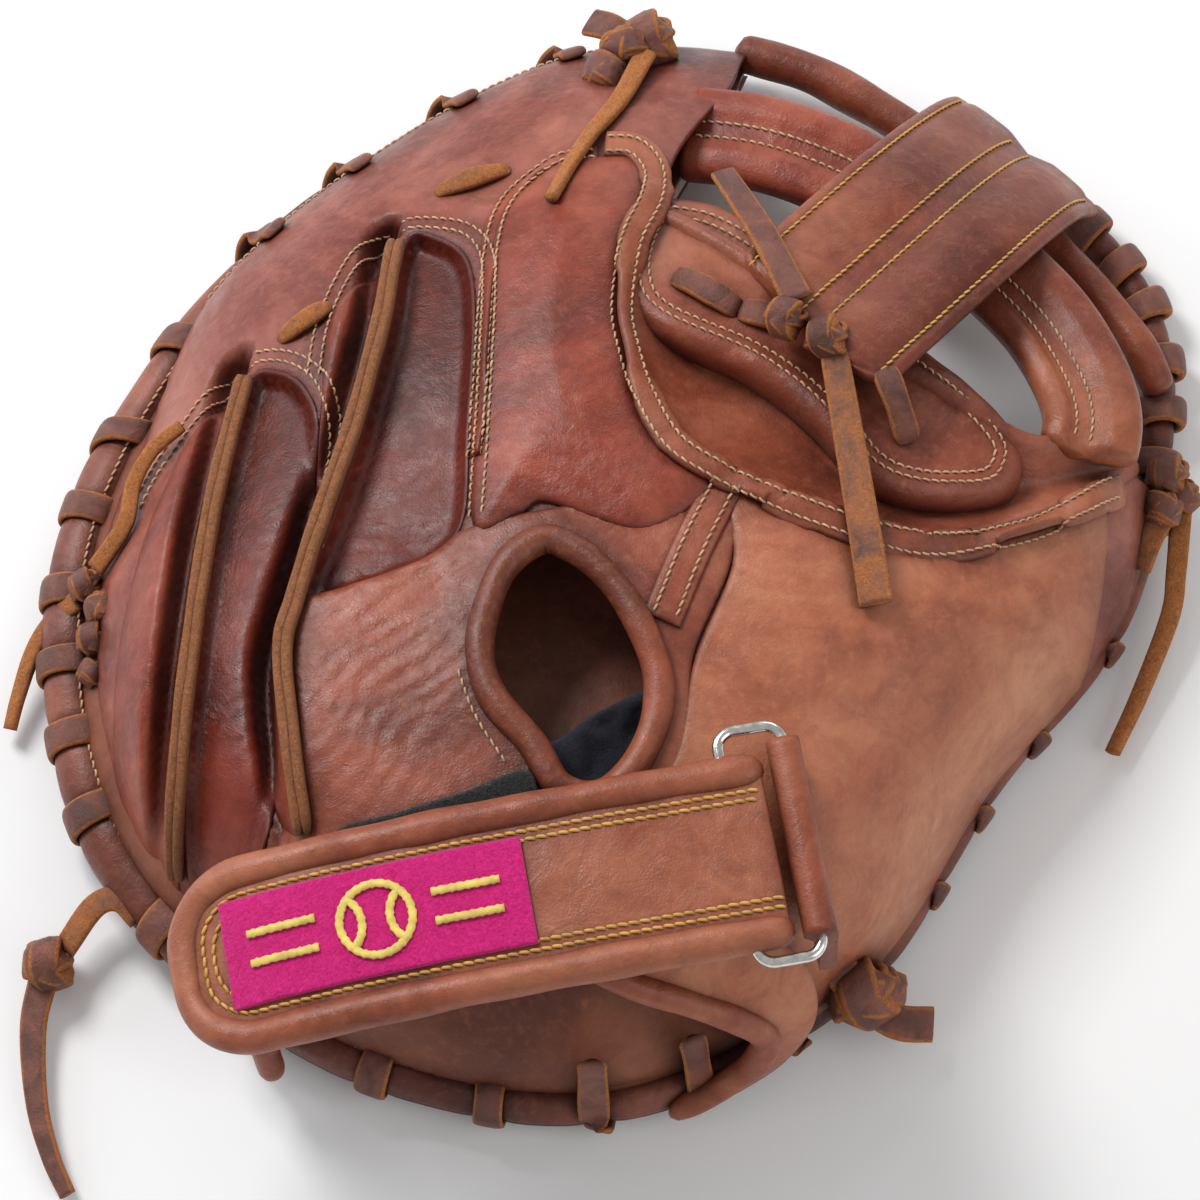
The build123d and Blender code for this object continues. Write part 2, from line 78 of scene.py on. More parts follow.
# plan outlines of the openings and panels, and plan lines of the welts and seams
WEB_WINDOW = ((12, 66), (14, 96), (28, 122), (44, 150), (110, 150), (160, 110), (152, 30), (122, 22),
              (98, 20), (66, 44), (36, 66))
WRIST_WINDOW = ((-66, -84), (-34, -83), (0, -84), (16, -92), (30, -106), (32, -128), (26, -150),
                (-40, -152), (-92, -150), (-84, -128), (-78, -112), (-72, -96))
HAND_HOLE = ((-17, -11), (-25, -17), (-29.5, -28), (-31, -39), (-28, -50), (-19, -61), (-13, -71),
             (-4, -73), (3, -68), (8, -59), (10, -50), (9, -41), (3.5, -28), (-4, -18), (-10.5, -13))
PINKY_STALL = ((-91, 41), (-102, 29), (-107.5, 15), (-112, 2), (-116, -16), (-118.5, -34), (-119, -56),
               (-117, -77), (-110, -91), (-104, -94), (-102.5, -80), (-101, -60), (-99, -34),
               (-96.5, -7), (-93, 20))
RING_INSERT = ((-88, 41), (-81, 42), (-74, 36), (-70, 24), (-71, 2), (-75, -20), (-78, -40), (-77, -62),
               (-82, -84), (-99, -84), (-100, -62), (-98, -34), (-96, -7), (-92, 20))
MIDDLE_STALL = ((-54, 74), (-64, 62), (-69, 50), (-70, 26), (-72, 2), (-76, -20), (-79, -44),
                (-78, -72), (-71, -80), (-73, -60), (-75, -37), (-73, -22), (-66, 0), (-60, 22),
                (-55, 50))
INDEX_INSERT = ((-51, 77), (-42, 76), (-35, 68), (-33, 50), (-34, 20), (-36, -7), (-51, -17),
                (-72, -22), (-67, -2), (-61, 20), (-55, 48))
INDEX_STALL = ((-4, 98), (-15, 97), (-26, 85), (-30, 67), (-32, 28), (-33, -6), (-22, -4), (-16, -1),
               (6, -8), (24, 4), (16, 16), (7, 28), (2, 46), (2.5, 60), (7, 74), (10, 86), (5, 97))
HAND_BACK = ((-36, -7), (-14, -2), (10, 2), (28, 4), (27, -16), (18, -40), (18, -64), (8, -82),
             (-30, -84), (-62, -84), (-77, -84), (-73, -60), (-75, -38), (-72, -22), (-50, -16))
THUMB_PANEL = ((27, 4), (51, -6), (75, -8), (100, 1), (118, 12), (113, -28), (96, -60), (78, -84),
               (60, -108), (40, -122), (32, -106), (18, -92), (6, -80), (14, -62), (18, -40), (27, -16))
POCKET_GUSSET = ((9, 82), (4, 66), (2, 50), (6, 28), (17, 11), (28, 5), (51, -6), (75, -8), (100, 2),
                 (122, 17), (127, 26), (109, 26), (95, 26), (68, 42), (46, 58), (26, 74))
WEB_BASE = ((10, 87), (19, 86.5), (29, 83), (47, 70), (74, 46), (84, 38), (92, 30.5), (97, 24),
            (98, 18.5), (96, 12), (92, 7.5), (84, 4.7), (74, 3.7), (64.5, 5), (57, 9.5), (52, 15.5),
            (47, 22), (39, 30), (29, 37), (19, 41.5), (9.5, 46.5), (2.5, 54), (0.5, 64), (2, 74),
            (5.5, 82.5))
SEAM_PATH = ((-2, 101), (5, 100), (9.5, 93), (9, 83), (4, 70), (1.5, 52), (3, 40), (7, 26), (14, 13),
             (26, 5.5), (41, -1), (57, -6), (74, -8), (94, -2), (108, 6), (121, 16))
THUMB_SEAM_PATH = ((25.5, 4), (18, -12), (10.5, -31))
PINKY_WELT_PATH = ((-89, 42), (-93, 20), (-96.5, -7), (-99, -34), (-101, -58), (-103, -80))
MIDDLE_WELT_PATH = ((-53, 76), (-56, 49), (-62, 21), (-68, 0), (-74, -23), (-76.5, -37), (-74, -60),
                    (-71, -80))
RING_BORDER = ((-113, 10), (-108, 20), (-101, 30.5), (-95, 38.5), (-88, 43.5), (-81, 43), (-74.5, 38.5),
               (-71, 32), (-69.5, 22), (-71, 4), (-73, -10))
INDEX_BORDER = ((-69, 38), (-67, 53), (-62, 68), (-57, 76), (-51, 78.5), (-44, 77.5), (-37.5, 75),
                (-33.8, 69), (-33, 58), (-33.6, 36), (-34.5, 14), (-35.5, -4))
INDEX_TIP_BORDER = ((-33, 12), (-32, 28), (-30, 67), (-26, 85), (-15, 97), (-4, 99))


# ---------------------------------------------------------------- plane curves
def curve(points, step=1.5, closed=False):
    """Catmull-Rom curve through the points, sampled at even distances."""
    p = np.array(points, float)
    n = len(p)
    if closed:
        ext = np.vstack([p[-1], p, p[0], p[1]])
        spans = n
    else:
        ext = np.vstack([2 * p[0] - p[1], p, 2 * p[-1] - p[-2]])
        spans = n - 1
    t = np.linspace(0, 1, 24, endpoint=False)[:, None]
    rows = []
    for i in range(spans):
        a, b, c, d = ext[i:i + 4]
        bend, twist = 2 * a - 5 * b + 4 * c - d, 3 * b - a - 3 * c + d
        rows.append(0.5 * (2 * b + (c - a) * t + bend * t**2 + twist * t**3))
    fine = np.vstack(rows + [ext[1:2] if closed else p[-1:]])
    arc = np.concatenate([[0], np.cumsum(np.linalg.norm(np.diff(fine, axis=0), axis=1))])
    count = max(3, int(round(arc[-1] / step)))
    wanted = np.linspace(0, arc[-1], count + 1)
    out = np.column_stack([np.interp(wanted, arc, fine[:, k]) for k in range(p.shape[1])])
    return out[:-1] if closed else out


def inside(xy, loop):
    """Which points lie inside a closed loop."""
    x, y = xy[:, 0][:, None], xy[:, 1][:, None]
    a, b = loop, np.roll(loop, -1, axis=0)
    crosses = (a[:, 1] > y) != (b[:, 1] > y)
    slope = (b[:, 0] - a[:, 0]) / np.where(np.abs(b[:, 1] - a[:, 1]) < 1e-9, 1e-9, b[:, 1] - a[:, 1])
    return (np.sum(crosses & (x < a[:, 0] + slope * (y - a[:, 1])), axis=1) % 2).astype(bool)


def distance(xy, line, closed=False):
    """Distance of each point from a dense polyline."""
    a = line if closed else line[:-1]
    b = np.roll(line, -1, axis=0) if closed else line[1:]
    best = np.full(len(xy), 1e9)
    ab = b - a
    length2 = np.maximum((ab**2).sum(1), 1e-12)
    for start in range(0, len(xy), 4000):
        q = xy[start:start + 4000]
        ap = q[:, None, :] - a[None]
        t = np.clip((ap * ab).sum(2) / length2, 0, 1)
        gap = ap - t[..., None] * ab
        best[start:start + 4000] = np.sqrt((gap**2).sum(2).min(1))
    return best


def side(xy, line):
    """Sign of each point's side of an open polyline, positive to the right of its direction."""
    middle = (line[:-1] + line[1:]) / 2
    nearest = np.argmin(((xy[:, None] - middle[None]) ** 2).sum(2), axis=1)
    d = (line[1:] - line[:-1])[nearest]
    r = xy - middle[nearest]
    return np.sign(d[:, 1] * r[:, 0] - d[:, 0] * r[:, 1])


def smooth(t):
    """Eased step from 0 to 1."""
    t = np.clip(t, 0, 1)
    return t * t * (3 - 2 * t)


def hump(gap, width):
    """1 where the gap is nothing, fading out over a width."""
    return np.exp(-((gap / width) ** 2))


def unit(rows):
    """Each row scaled to length one."""
    return rows / (np.linalg.norm(rows, axis=1)[:, None] + 1e-12)


def sideways(line, closed=False):
    """Unit vectors to the right of a plan line, at its points."""
    if closed:
        ahead = unit(np.roll(line, -1, axis=0) - np.roll(line, 1, axis=0))
    else:
        ahead = unit(np.gradient(line, axis=0))
    return np.column_stack([ahead[:, 1], -ahead[:, 0]])


def winding(loop):
    """1 for a loop that runs anticlockwise, -1 for clockwise."""
    return np.sign((loop[:, 0] * np.roll(loop[:, 1], -1) - np.roll(loop[:, 0], -1) * loop[:, 1]).sum())


def soften(values, passes):
    """Evens out values along a path in place; its ends stay."""
    for _ in range(passes):
        values[1:-1] = (values[:-2] + 2 * values[1:-1] + values[2:]) / 4


def upward(count):
    """Straight-up vectors for the points of a path."""
    return np.tile((0.0, 0, 1), (count, 1))


def bearing(xy):
    """Direction of each point from the origin, in degrees from 0 to 360."""
    return np.degrees(np.arctan2(xy[:, 1], xy[:, 0])) % 360


def around(xy, values):
    """Twelve values given every 30 degrees, read in the direction of each point."""
    return np.interp(bearing(xy) / 30, range(13), values + values[:1])


RIM_NODES = [(r * math.cos(math.radians(30 * i)), r * math.sin(math.radians(30 * i)))
             for i, r in enumerate(RIM_RADII)]
RIM = curve(RIM_NODES, 1.0, closed=True)
RIM_ANGLE = np.unwrap(np.arctan2(*(RIM - CROWN).T[::-1]))
RIM_REACH = np.linalg.norm(RIM - CROWN, axis=1)
RIM_BOX = around(RIM, SQUARENESS)


def share(xy, inset=0.0):
    """How far out each point is, 0 at the crown and 1 at the rim moved in by an inset, and how boxy it is."""
    rel = xy - CROWN
    angle = np.arctan2(rel[:, 1], rel[:, 0])
    base = RIM_ANGLE[0]
    angle = (angle - base) % (2 * math.pi) + base
    order = np.argsort((RIM_ANGLE - base) % (2 * math.pi))
    table = (RIM_ANGLE[order] - base) % (2 * math.pi) + base
    reach = np.interp(angle, table, RIM_REACH[order], period=2 * math.pi)
    box = np.interp(angle, table, RIM_BOX[order], period=2 * math.pi)
    return np.hypot(rel[:, 0], rel[:, 1]) / (reach - inset), box


def roll_width(xy):
    """Half width of the rolled rim in the direction of each point."""
    return around(xy, RIM_ROLL)


def noise2(xy, scale, seed=0):
    """Cheap smooth noise from a few rotated waves."""
    rng = np.random.default_rng(seed)
    total = np.zeros(len(xy))
    for _ in range(7):
        a = rng.uniform(0, 2 * math.pi)
        f = rng.uniform(0.6, 1.5) / scale
        along = xy[:, 0] * math.cos(a) + xy[:, 1] * math.sin(a)
        total += np.sin(along * f * 2 * math.pi + rng.uniform(0, 6.28))
    return total / 4


LINES = {}


def dense(points, closed=False):
    """Curve through the points, worked out once."""
    key = (tuple(points), closed)
    if key not in LINES:
        LINES[key] = curve(points, 2.0, closed)
    return LINES[key]


def within(xy, outline):
    """Distance inside a closed outline, zero outside."""
    loop = dense(outline, True)
    return np.where(inside(xy, loop), distance(xy, loop, True), 0)


def dome(xy, top, edge, inset, power):
    """Height of a dome from the crown's top to an edge height at the rim moved in by an inset."""
    k, box = share(xy, inset)
    return edge + (top - edge) * np.maximum(0, 1 - np.minimum(k, 1) ** box) ** power


GUSSET_DEPTH, WELT_GROOVE_DEPTH, WELT_GROOVE_ASIDE, HOLE_RISE = 15, 11, 4.6, 1.5


def relief(xy):
    """Stuffed stalls, sunk inserts, grooves beside the welts and creases."""
    r = np.zeros(len(xy))
    for outline, height, reach in ((PINKY_STALL, 4.5, 5), (MIDDLE_STALL, 4.0, 5), (INDEX_STALL, 5.0, 11),
                                   (THUMB_PANEL, 3.0, 16)):
        r += height * (1 - np.exp(-within(xy, outline) / reach))
    r -= GUSSET_DEPTH * (1 - np.exp(-np.maximum(within(xy, POCKET_GUSSET) - 3, 0) / 10))
    for outline, depth in ((RING_INSERT, 5.5), (INDEX_INSERT, 6.0)):
        r -= depth * smooth(within(xy, outline) / 3.5)
    ends = smooth((xy[:, 1] + 92) / 30)
    for path in (PINKY_WELT_PATH, MIDDLE_WELT_PATH):
        line = dense(path)
        beside = distance(xy, line) * side(xy, line) - WELT_GROOVE_ASIDE
        r -= WELT_GROOVE_DEPTH * hump(beside, 2.9) * ends
    r += HOLE_RISE * hump(distance(xy, dense(HAND_HOLE, True), True), 10)
    return r + creases(xy) + 0.35 * noise2(xy, 34, 3)


def creases(xy):
    """Fine folds in the leather below the index finger and round the hand opening."""
    warp = noise2(xy, 21, 11)
    r = np.zeros(len(xy))
    for centre, spread, wave, turn, height in (
        ((-46, -36), 15, 4.4, 128, 0.8), ((-38, -22), 9, 3.3, 120, 0.5), ((-58, -58), 13, 5.2, 150, 0.45),
        ((-50, -12), 10, 3.8, 98, 0.7), ((-86, -48), 10, 4.4, 118, 0.6), ((2, 8), 11, 3.6, 55, 0.55),
        ((22, -8), 9, 3.0, 48, 0.4), ((33, -28), 12, 3.0, 58, 0.4), ((-16, 14), 12, 6.0, 80, 0.25),
        ((60, -14), 14, 4.2, 75, 0.25), ((-104, -20), 12, 5.0, 20, 0.3),
    ):
        a = math.radians(turn)
        along = (xy[:, 0] * math.cos(a) + xy[:, 1] * math.sin(a)) / wave
        fade = np.exp(-((xy - centre) ** 2).sum(1) / (2 * spread**2))
        ridge = 1 - np.abs(np.sin(math.pi * (along + 0.4 * warp)))
        r -= height * fade * ridge**2.5
    return r


def wide_roll(width):
    """0 where the rolled rim is slim and covered by the back, 1 where it is wide and bare."""
    return smooth((width - 5.0) / 1.5)


def back(xy):
    """Height of the leather back: it meets the top of a slim roll and the inner side of a wide one."""
    width = roll_width(xy)
    wide = wide_roll(width)
    edge = ROLL_LIFT + (2.1 * width + 0.6) * (1 - wide) + (1.4 * width + 1) * wide
    return dome(xy, BACK_HEIGHT, edge, width * (0.7 + 1.1 * wide), BACK_POWER) + relief(xy)


def lining(xy):
    """Height of the lining of the pocket, inside the mitt."""
    return dome(xy, 42, 9, 6.0, 0.62) + 0.4 * noise2(xy, 40, 5)


def palm(xy):
    """Height of the palm leather, which lies on the floor round its edge."""
    return dome(xy, 28, 4.5, 8.0, 0.75)


# ---------------------------------------------------------------- meshes
def build(name, verts, faces, material, edge=None):
    """One smooth mesh from millimetre points; edge says how near a raw or worn edge each point is (leather
    also darkens there, partly as painted shade).
    """
    data = bpy.data.meshes.new(name)
    data.from_pydata((np.asarray(verts) * MM).tolist(), [], [tuple(map(int, f)) for f in faces])
    data.validate()
    values = data.attributes.new("edge", "FLOAT", "POINT")
    values.data.foreach_set("value", np.zeros(len(verts), np.float32) if edge is None else np.float32(edge))
    data.polygons.foreach_set("use_smooth", [True] * len(data.polygons))
    data.materials.append(material)
    obj = bpy.data.objects.new(name, data)
    bpy.context.scene.collection.objects.link(obj)
    return obj


def own(obj, body, nodes):
    """Hangs a piece on the body that carries it, or bakes it in place for "fold", and hides the imported
    parts it stands for.
    """
    if body == "fold":
        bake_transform(obj)
    else:
        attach(obj, body)
    if nodes:
        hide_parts(*nodes)
    return obj


def panel(name, outline, material, height, holes=(), step=1.7, lift=0.0, roll=1.3, drop=2.6):
    """Leather panel: a triangulated plan region raised to a height, with rounded, turned-down edges."""
    loops = [curve(o, step, True) for o in (outline, *holes)]
    low, high = loops[0].min(0), loops[0].max(0)
    xs = np.arange(low[0], high[0], step)
    ys = np.arange(low[1], high[1], step * 0.87)
    grid = np.array([(x + (j % 2) * step / 2, y) for j, y in enumerate(ys) for x in xs])
    keep = inside(grid, loops[0])
    for hole in loops[1:]:
        keep &= ~inside(grid, hole)
    grid = grid[keep]
    near = np.min([distance(grid, loop, True) for loop in loops], axis=0)
    grid = grid[near > roll + step * 0.35]
    rings = []
    for k, loop in enumerate(loops):
        inward = sideways(loop, True) * winding(loop) * (-1 if k == 0 else 1)
        for reach in (0.3 * roll, roll):
            ring = loop + inward * reach
            good = np.min([distance(ring, other, True) for other in loops], axis=0) > 0.85 * reach
            rings.append(ring[good])
    points = np.vstack(loops + rings + [grid])
    edges = []
    first = 0
    for loop in loops:
        count = len(loop)
        edges += [(first + i, first + (i + 1) % count) for i in range(count)]
        first += count
    flat, _, tris, _, _, _ = geometry.delaunay_2d_cdt([Vector(p) for p in points], edges, [], 0, 1e-5)
    flat = np.array([(v.x, v.y) for v in flat])
    tris = np.array([t for t in tris if len(t) == 3])
    middle = flat[tris].mean(1)
    keep = inside(middle, loops[0])
    for hole in loops[1:]:
        keep &= ~inside(middle, hole)
    tris = tris[keep]
    used, tris = np.unique(tris, return_inverse=True)
    flat, tris = flat[used], tris.reshape(-1, 3)
    gap = np.min([distance(flat, loop, True) for loop in loops], axis=0)
    t = np.clip(gap / roll, 0, 1)
    z = height(flat) + lift - roll * (1 - np.sqrt(np.maximum(0, 1 - (1 - t) ** 2)))
    top = np.column_stack([flat, z])
    border = {}
    for a, b, c in tris:
        for e in ((a, b), (b, c), (c, a)):
            if (e[1], e[0]) in border:
                del border[(e[1], e[0])]
            else:
                border[e] = True
    rim_points = sorted({i for e in border for i in e})
    lower = {p: len(top) + n for n, p in enumerate(rim_points)}
    skirt = top[rim_points] - (0, 0, drop)
    faces = list(tris) + [(b, a, lower[a], lower[b]) for a, b in border]
    gap = np.concatenate([gap, np.zeros(len(rim_points))])
    return build(name, np.vstack([top, skirt]), faces, material, np.exp(-gap / 2.2))


def settled(obj, frames_run=18, cap=4.0, growth=0.05):
    """Cloth simulation of a lining held along its border: it buckles, and no point moves past the cap."""
    count = len(obj.data.vertices)
    start = np.empty(count * 3)
    obj.data.vertices.foreach_get("co", start)
    edge = np.empty(count, np.float32)
    obj.data.attributes["edge"].data.foreach_get("value", edge)
    held = obj.vertex_groups.new(name="held")
    held.add([int(i) for i in np.nonzero(edge > 0.35)[0]], 1.0, "REPLACE")
    cloth = obj.modifiers.new("cloth", "CLOTH")
    cloth.settings.vertex_group_mass = "held"
    cloth.settings.quality = 8
    cloth.settings.mass = 0.25
    cloth.settings.bending_stiffness = 0.3
    cloth.settings.shrink_min = -growth
    for number in range(1, frames_run + 1):
        bpy.context.scene.frame_set(number)
    moved = np.empty(count * 3)
    shape = obj.evaluated_get(bpy.context.evaluated_depsgraph_get())
    shape.data.vertices.foreach_get("co", moved)
    obj.modifiers.remove(cloth)
    obj.vertex_groups.remove(held)
    shift = (moved - start).reshape(-1, 3)
    far = np.linalg.norm(shift, axis=1) / (cap * MM)
    shift /= np.maximum(far, 1)[:, None]
    obj.data.vertices.foreach_set("co", start + shift.ravel())
    obj.data.update()
    bpy.context.scene.frame_set(1)
    return obj


def frames(path, up):
    """Side and up vectors along a 3-D path."""
    tangent = unit(np.gradient(path, axis=0))
    across = unit(np.cross(tangent, up))
    return across, np.cross(across, tangent)


def tube_faces(n, m, closed=False):
    """Faces round n rings of m points, capped at both ends unless the last ring meets the first."""
    faces = []
    for i in range(n if closed else n - 1):
        j = (i + 1) % n
        faces += [(i * m + k, i * m + (k + 1) % m, j * m + (k + 1) % m, j * m + k) for k in range(m)]
    if not closed:
        faces += [tuple(range(m))[::-1], tuple((n - 1) * m + k for k in range(m))]
    return faces


def sweep_arrays(path, up, section, scale=None, closed=False, taper=0.0):
    """Vertices and faces of a section carried along a path. The section is (across, up) points."""
    across, lift = frames(path, up)
    n = len(path)
    scale = np.ones((n, 2)) if scale is None else scale
    if taper and not closed:
        run = np.linspace(0, 1, n)
        ends = np.clip(np.minimum(run, 1 - run) / taper, 0, 1)
        scale = scale * (0.25 + 0.75 * np.sqrt(1 - (1 - ends) ** 2))[:, None]
    verts = (path[:, None] + across[:, None] * (section[:, 0] * scale[:, :1])[..., None]
             + lift[:, None] * (section[:, 1] * scale[:, 1:])[..., None]).reshape(-1, 3)
    return verts, tube_faces(n, len(section), closed)


def oval(width, height, count=12, power=2.0):
    """Closed oval section; a higher power is boxier."""
    a = np.linspace(0, 2 * math.pi, count, endpoint=False)
    c, s = np.cos(a), np.sin(a)
    return np.column_stack([np.sign(c) * np.abs(c) ** (2 / power) * width / 2,
                            np.sign(s) * np.abs(s) ** (2 / power) * height / 2])


def joined(name, parts, material, edge=None):
    """Several vertex and face sets as one mesh; edge gives each part's raw-edge values."""
    verts, faces, values, first = [], [], [], 0
    for i, (v, f) in enumerate(parts):
        verts.append(v)
        faces += [tuple(first + k for k in face) for face in f]
        values.append(np.zeros(len(v)) if edge is None else edge[i])
        first += len(v)
    return build(name, np.vstack(verts), faces, material, np.concatenate(values))


def raw_sides(section, count, start=0.72):
    """Raw-edge values of a flat lace: its narrow sides are raw."""
    return np.tile(smooth((np.abs(section[:, 0]) / section[:, 0].max() - start) / 0.2), count)


def lace_part(path, up, width, thickness, taper=0.06):
    """Flat rawhide lace whose width and thickness waver a little."""
    section = oval(width, thickness, 16, 3.2)
    n = len(path)
    scale = 1 + 0.048 * np.column_stack([np.sin(np.linspace(0, 9, n) + RNG.uniform(0, 6)),
                                         np.cos(np.linspace(0, 7, n) + RNG.uniform(0, 6))])
    return sweep_arrays(path, up, section, scale, taper=taper), raw_sides(section, n)


# ---------------------------------------------------------------- materials
def new_material(name):
    """Principled material and a coordinate on the object, in metres, for its textures."""
    mat = bpy.data.materials.new(name)
    mat.use_nodes = True
    tree = mat.node_tree
    return mat, tree, tree.nodes["Principled BSDF"], tree.nodes.new("ShaderNodeTexCoord").outputs["Object"]


def feed(tree, socket, value):
    """Links a node's output to an input, or sets the input to a number or a colour."""
    if isinstance(value, bpy.types.NodeSocket):
        tree.links.new(value, socket)
    else:
        socket.default_value = (*value, 1) if isinstance(value, tuple) else value


def fed(tree, kind, inputs, **settings):
    """New node of a kind with its settings and inputs; inputs are keyed by name or number."""
    node = tree.nodes.new("ShaderNode" + kind)
    for key, value in settings.items():
        setattr(node, key, value)
    for key, value in inputs.items():
        feed(tree, node.inputs[key], value)
    return node


def noise_node(tree, coord, scale, detail=3.0, distortion=0.0, rough=0.55):
    return fed(tree, "TexNoise", {"Scale": scale, "Detail": detail, "Distortion": distortion,
                                  "Roughness": rough, "Vector": coord}).outputs["Fac"]


def cells(tree, coord, scale):
    """Pebbles: distance to the edge of the cell a point is in."""
    node = fed(tree, "TexVoronoi", {"Scale": scale, "Vector": coord}, feature="DISTANCE_TO_EDGE")
    return node.outputs["Distance"]


def ramp(tree, fac, *stops):
    """Blend between (place, colour or grey value) stops."""
    node = fed(tree, "ValToRGB", {"Fac": fac})
    while len(node.color_ramp.elements) < len(stops):
        node.color_ramp.elements.new(0.5)
    for element, (place, colour) in zip(node.color_ramp.elements, stops):
        element.position = place
        element.color = (*(colour if isinstance(colour, tuple) else (colour,) * 3), 1)
    return node.outputs["Color"]


def mixed(tree, fac, first, second, kind="MIX"):
    return fed(tree, "Mix", {0: fac, 6: first, 7: second}, data_type="RGBA", blend_type=kind).outputs[2]


def maths(tree, kind, first, second):
    return fed(tree, "Math", {0: first, 1: second}, operation=kind).outputs[0]


def edge_value(tree):
    """The mesh's edge values."""
    return fed(tree, "Attribute", {}, attribute_name="edge").outputs["Fac"]


def hollow_shade(tree, reach_m):
    """How open the surface is to light within a reach, in metres."""
    return fed(tree, "AmbientOcclusion", {"Distance": reach_m}, samples=4).outputs["AO"]


def dress(tree, shader, inputs, layers):
    """Sets a shader's inputs and a chain of bump layers: (height, strength, depth in metres)."""
    for key, value in inputs.items():
        feed(tree, shader.inputs[key], value)
    last = None
    for height, strength, depth in layers:
        inputs = {"Strength": strength, "Distance": depth, "Height": height}
        last = fed(tree, "Bump", inputs if last is None else {**inputs, "Normal": last}).outputs["Normal"]
    tree.links.new(last, shader.inputs["Normal"])


def tint(colour, strength):
    return tuple(min(1, c * strength) for c in colour)


def leather(name, dark, mid, light, rough=0.38, grain=1.0):
    """Oiled full-grain leather: mottled colour, painted shade in hollows, edges darkened partly by wear and
    partly as painted shade, pebble grain, fine wrinkles and scuffs.
    """
    mat, tree, shader, coord = new_material(name)
    colour = ramp(tree, noise_node(tree, coord, 16, 5, 0.6, 0.62), (0.36, dark), (0.5, mid), (0.68, light))
    for (scale, detail, distortion, fine), low, (high, most), tone in (
        ((70, 6, 1.2, 0.7), 0.42, (0.75, 0.55), dark),
        ((420, 4, 0.3, 0.7), 0.5, (0.85, 0.5), light),
        ((34, 2, 3.5, 0.5), 0.7, (0.78, 0.22), tint(light, 1.9)),
    ):
        spots = noise_node(tree, coord, scale, detail, distortion, fine)
        colour = mixed(tree, ramp(tree, spots, (low, 0), (high, most)), colour, tone)
    # painted shade: colour darkened where ambient occlusion finds hollows, creases and gaps between parts
    painted_shade = ramp(tree, hollow_shade(tree, 0.007), (0.35, (0.16, 0.10, 0.09)), (0.95, 1))
    colour = mixed(tree, 0.85, colour, painted_shade, "MULTIPLY")
    # edges darkened: partly worn edges, partly painted shade along the seams
    colour = mixed(tree, maths(tree, "MULTIPLY", edge_value(tree), 0.35), colour, tint(dark, 0.45))
    gloss = noise_node(tree, coord, 110, 5, 0.4, 0.7)
    dress(tree, shader, {
        "Base Color": colour, "Roughness": ramp(tree, gloss, (0.3, rough - 0.12), (0.75, rough + 0.2)),
        "Specular IOR Level": 0.38, "Coat Weight": 0.06, "Coat Roughness": 0.38,
    }, (
        (cells(tree, coord, 1100), 0.20 * grain, 0.0004),
        (noise_node(tree, coord, 1900, 3), 0.18 * grain, 0.0003),
        (noise_node(tree, coord, 150, 6, 1.8, 0.65), 0.30 * grain, 0.0012),
        (noise_node(tree, coord, 45, 3, 0.8), 0.22, 0.003),
    ))
    return mat


def rawhide(name, face, edge, fuzz=1.0):
    """Lace or welt leather: smooth grain face and fibrous raw edges, picked out by the edge values, with
    painted shade in hollows.
    """
    mat, tree, shader, coord = new_material(name)
    tone = noise_node(tree, coord, 90, 5, 0.8, 0.65)
    grain = ramp(tree, tone, (0.35, tint(face, 0.55)), (0.65, tint(face, 1.35)))
    fibre = noise_node(tree, coord, 900, 5, 2.0, 0.75)
    raw = ramp(tree, fibre, (0.3, tint(edge, 0.35)), (0.5, edge), (0.72, tint(edge, 1.6)))
    ragged = maths(tree, "MULTIPLY", maths(tree, "SUBTRACT", tone, 0.5), 0.7)
    where = ramp(tree, maths(tree, "ADD", edge_value(tree), ragged), (0.3, 0), (0.6, 1))
    # painted shade: colour darkened in hollows found by ambient occlusion
    painted_shade = ramp(tree, hollow_shade(tree, 0.004), (0.3, (0.2, 0.13, 0.1)), (0.9, 1))
    dress(tree, shader, {"Base Color": mixed(tree, 0.8, mixed(tree, where, grain, raw), painted_shade, "MULTIPLY"),
                         "Roughness": ramp(tree, where, (0.2, 0.45), (0.8, 0.9))},
          ((fibre, 0.5 * fuzz, 0.0008), (noise_node(tree, coord, 260, 4, 1.0), 0.3, 0.0012)))
    return mat


def thread(name, colour):
    mat, tree, shader, coord = new_material(name)
    tone = ramp(tree, noise_node(tree, coord, 300, 3), (0.3, tint(colour, 0.6)), (0.7, colour))
    dress(tree, shader, {"Base Color": tone, "Roughness": 0.6},
          ((noise_node(tree, coord, 2600, 2, 1.0), 0.4, 0.0003),))
    return mat


def textile(name, dark, light, scale, depth, rough=0.95, distortion=1.5):
    """Fuzzy textile: felt, pile or knitted neoprene."""
    mat, tree, shader, coord = new_material(name)
    fibre = noise_node(tree, coord, scale, 5, distortion, 0.7)
    dress(tree, shader, {"Base Color": ramp(tree, fibre, (0.35, dark), (0.7, light)), "Roughness": rough,
                         "Specular IOR Level": 0.2, "Sheen Weight": 0.2},
          ((fibre, 0.8, depth), (cells(tree, coord, scale * 0.8), 0.3, depth)))
    return mat


def metal(name):
    mat, tree, shader, coord = new_material(name)
    scratch = noise_node(tree, coord, 500, 4, 0.5)
    dress(tree, shader, {
        "Base Color": ramp(tree, scratch, (0.3, (0.62, 0.60, 0.56)), (0.7, (0.88, 0.87, 0.84))),
        "Roughness": ramp(tree, scratch, (0.3, 0.12), (0.8, 0.32)), "Metallic": 1,
    }, ((noise_node(tree, coord, 1500, 2), 0.05, 0.0002),))
    return mat


def floor_material():
    mat, tree, shader, coord = new_material("studio_floor")
    tone = ramp(tree, noise_node(tree, coord, 3, 2), (0.3, 0.93), (0.7, 0.96))
    feed(tree, shader.inputs["Base Color"], tone)
    shader.inputs["Roughness"].default_value = 0.9
    return mat


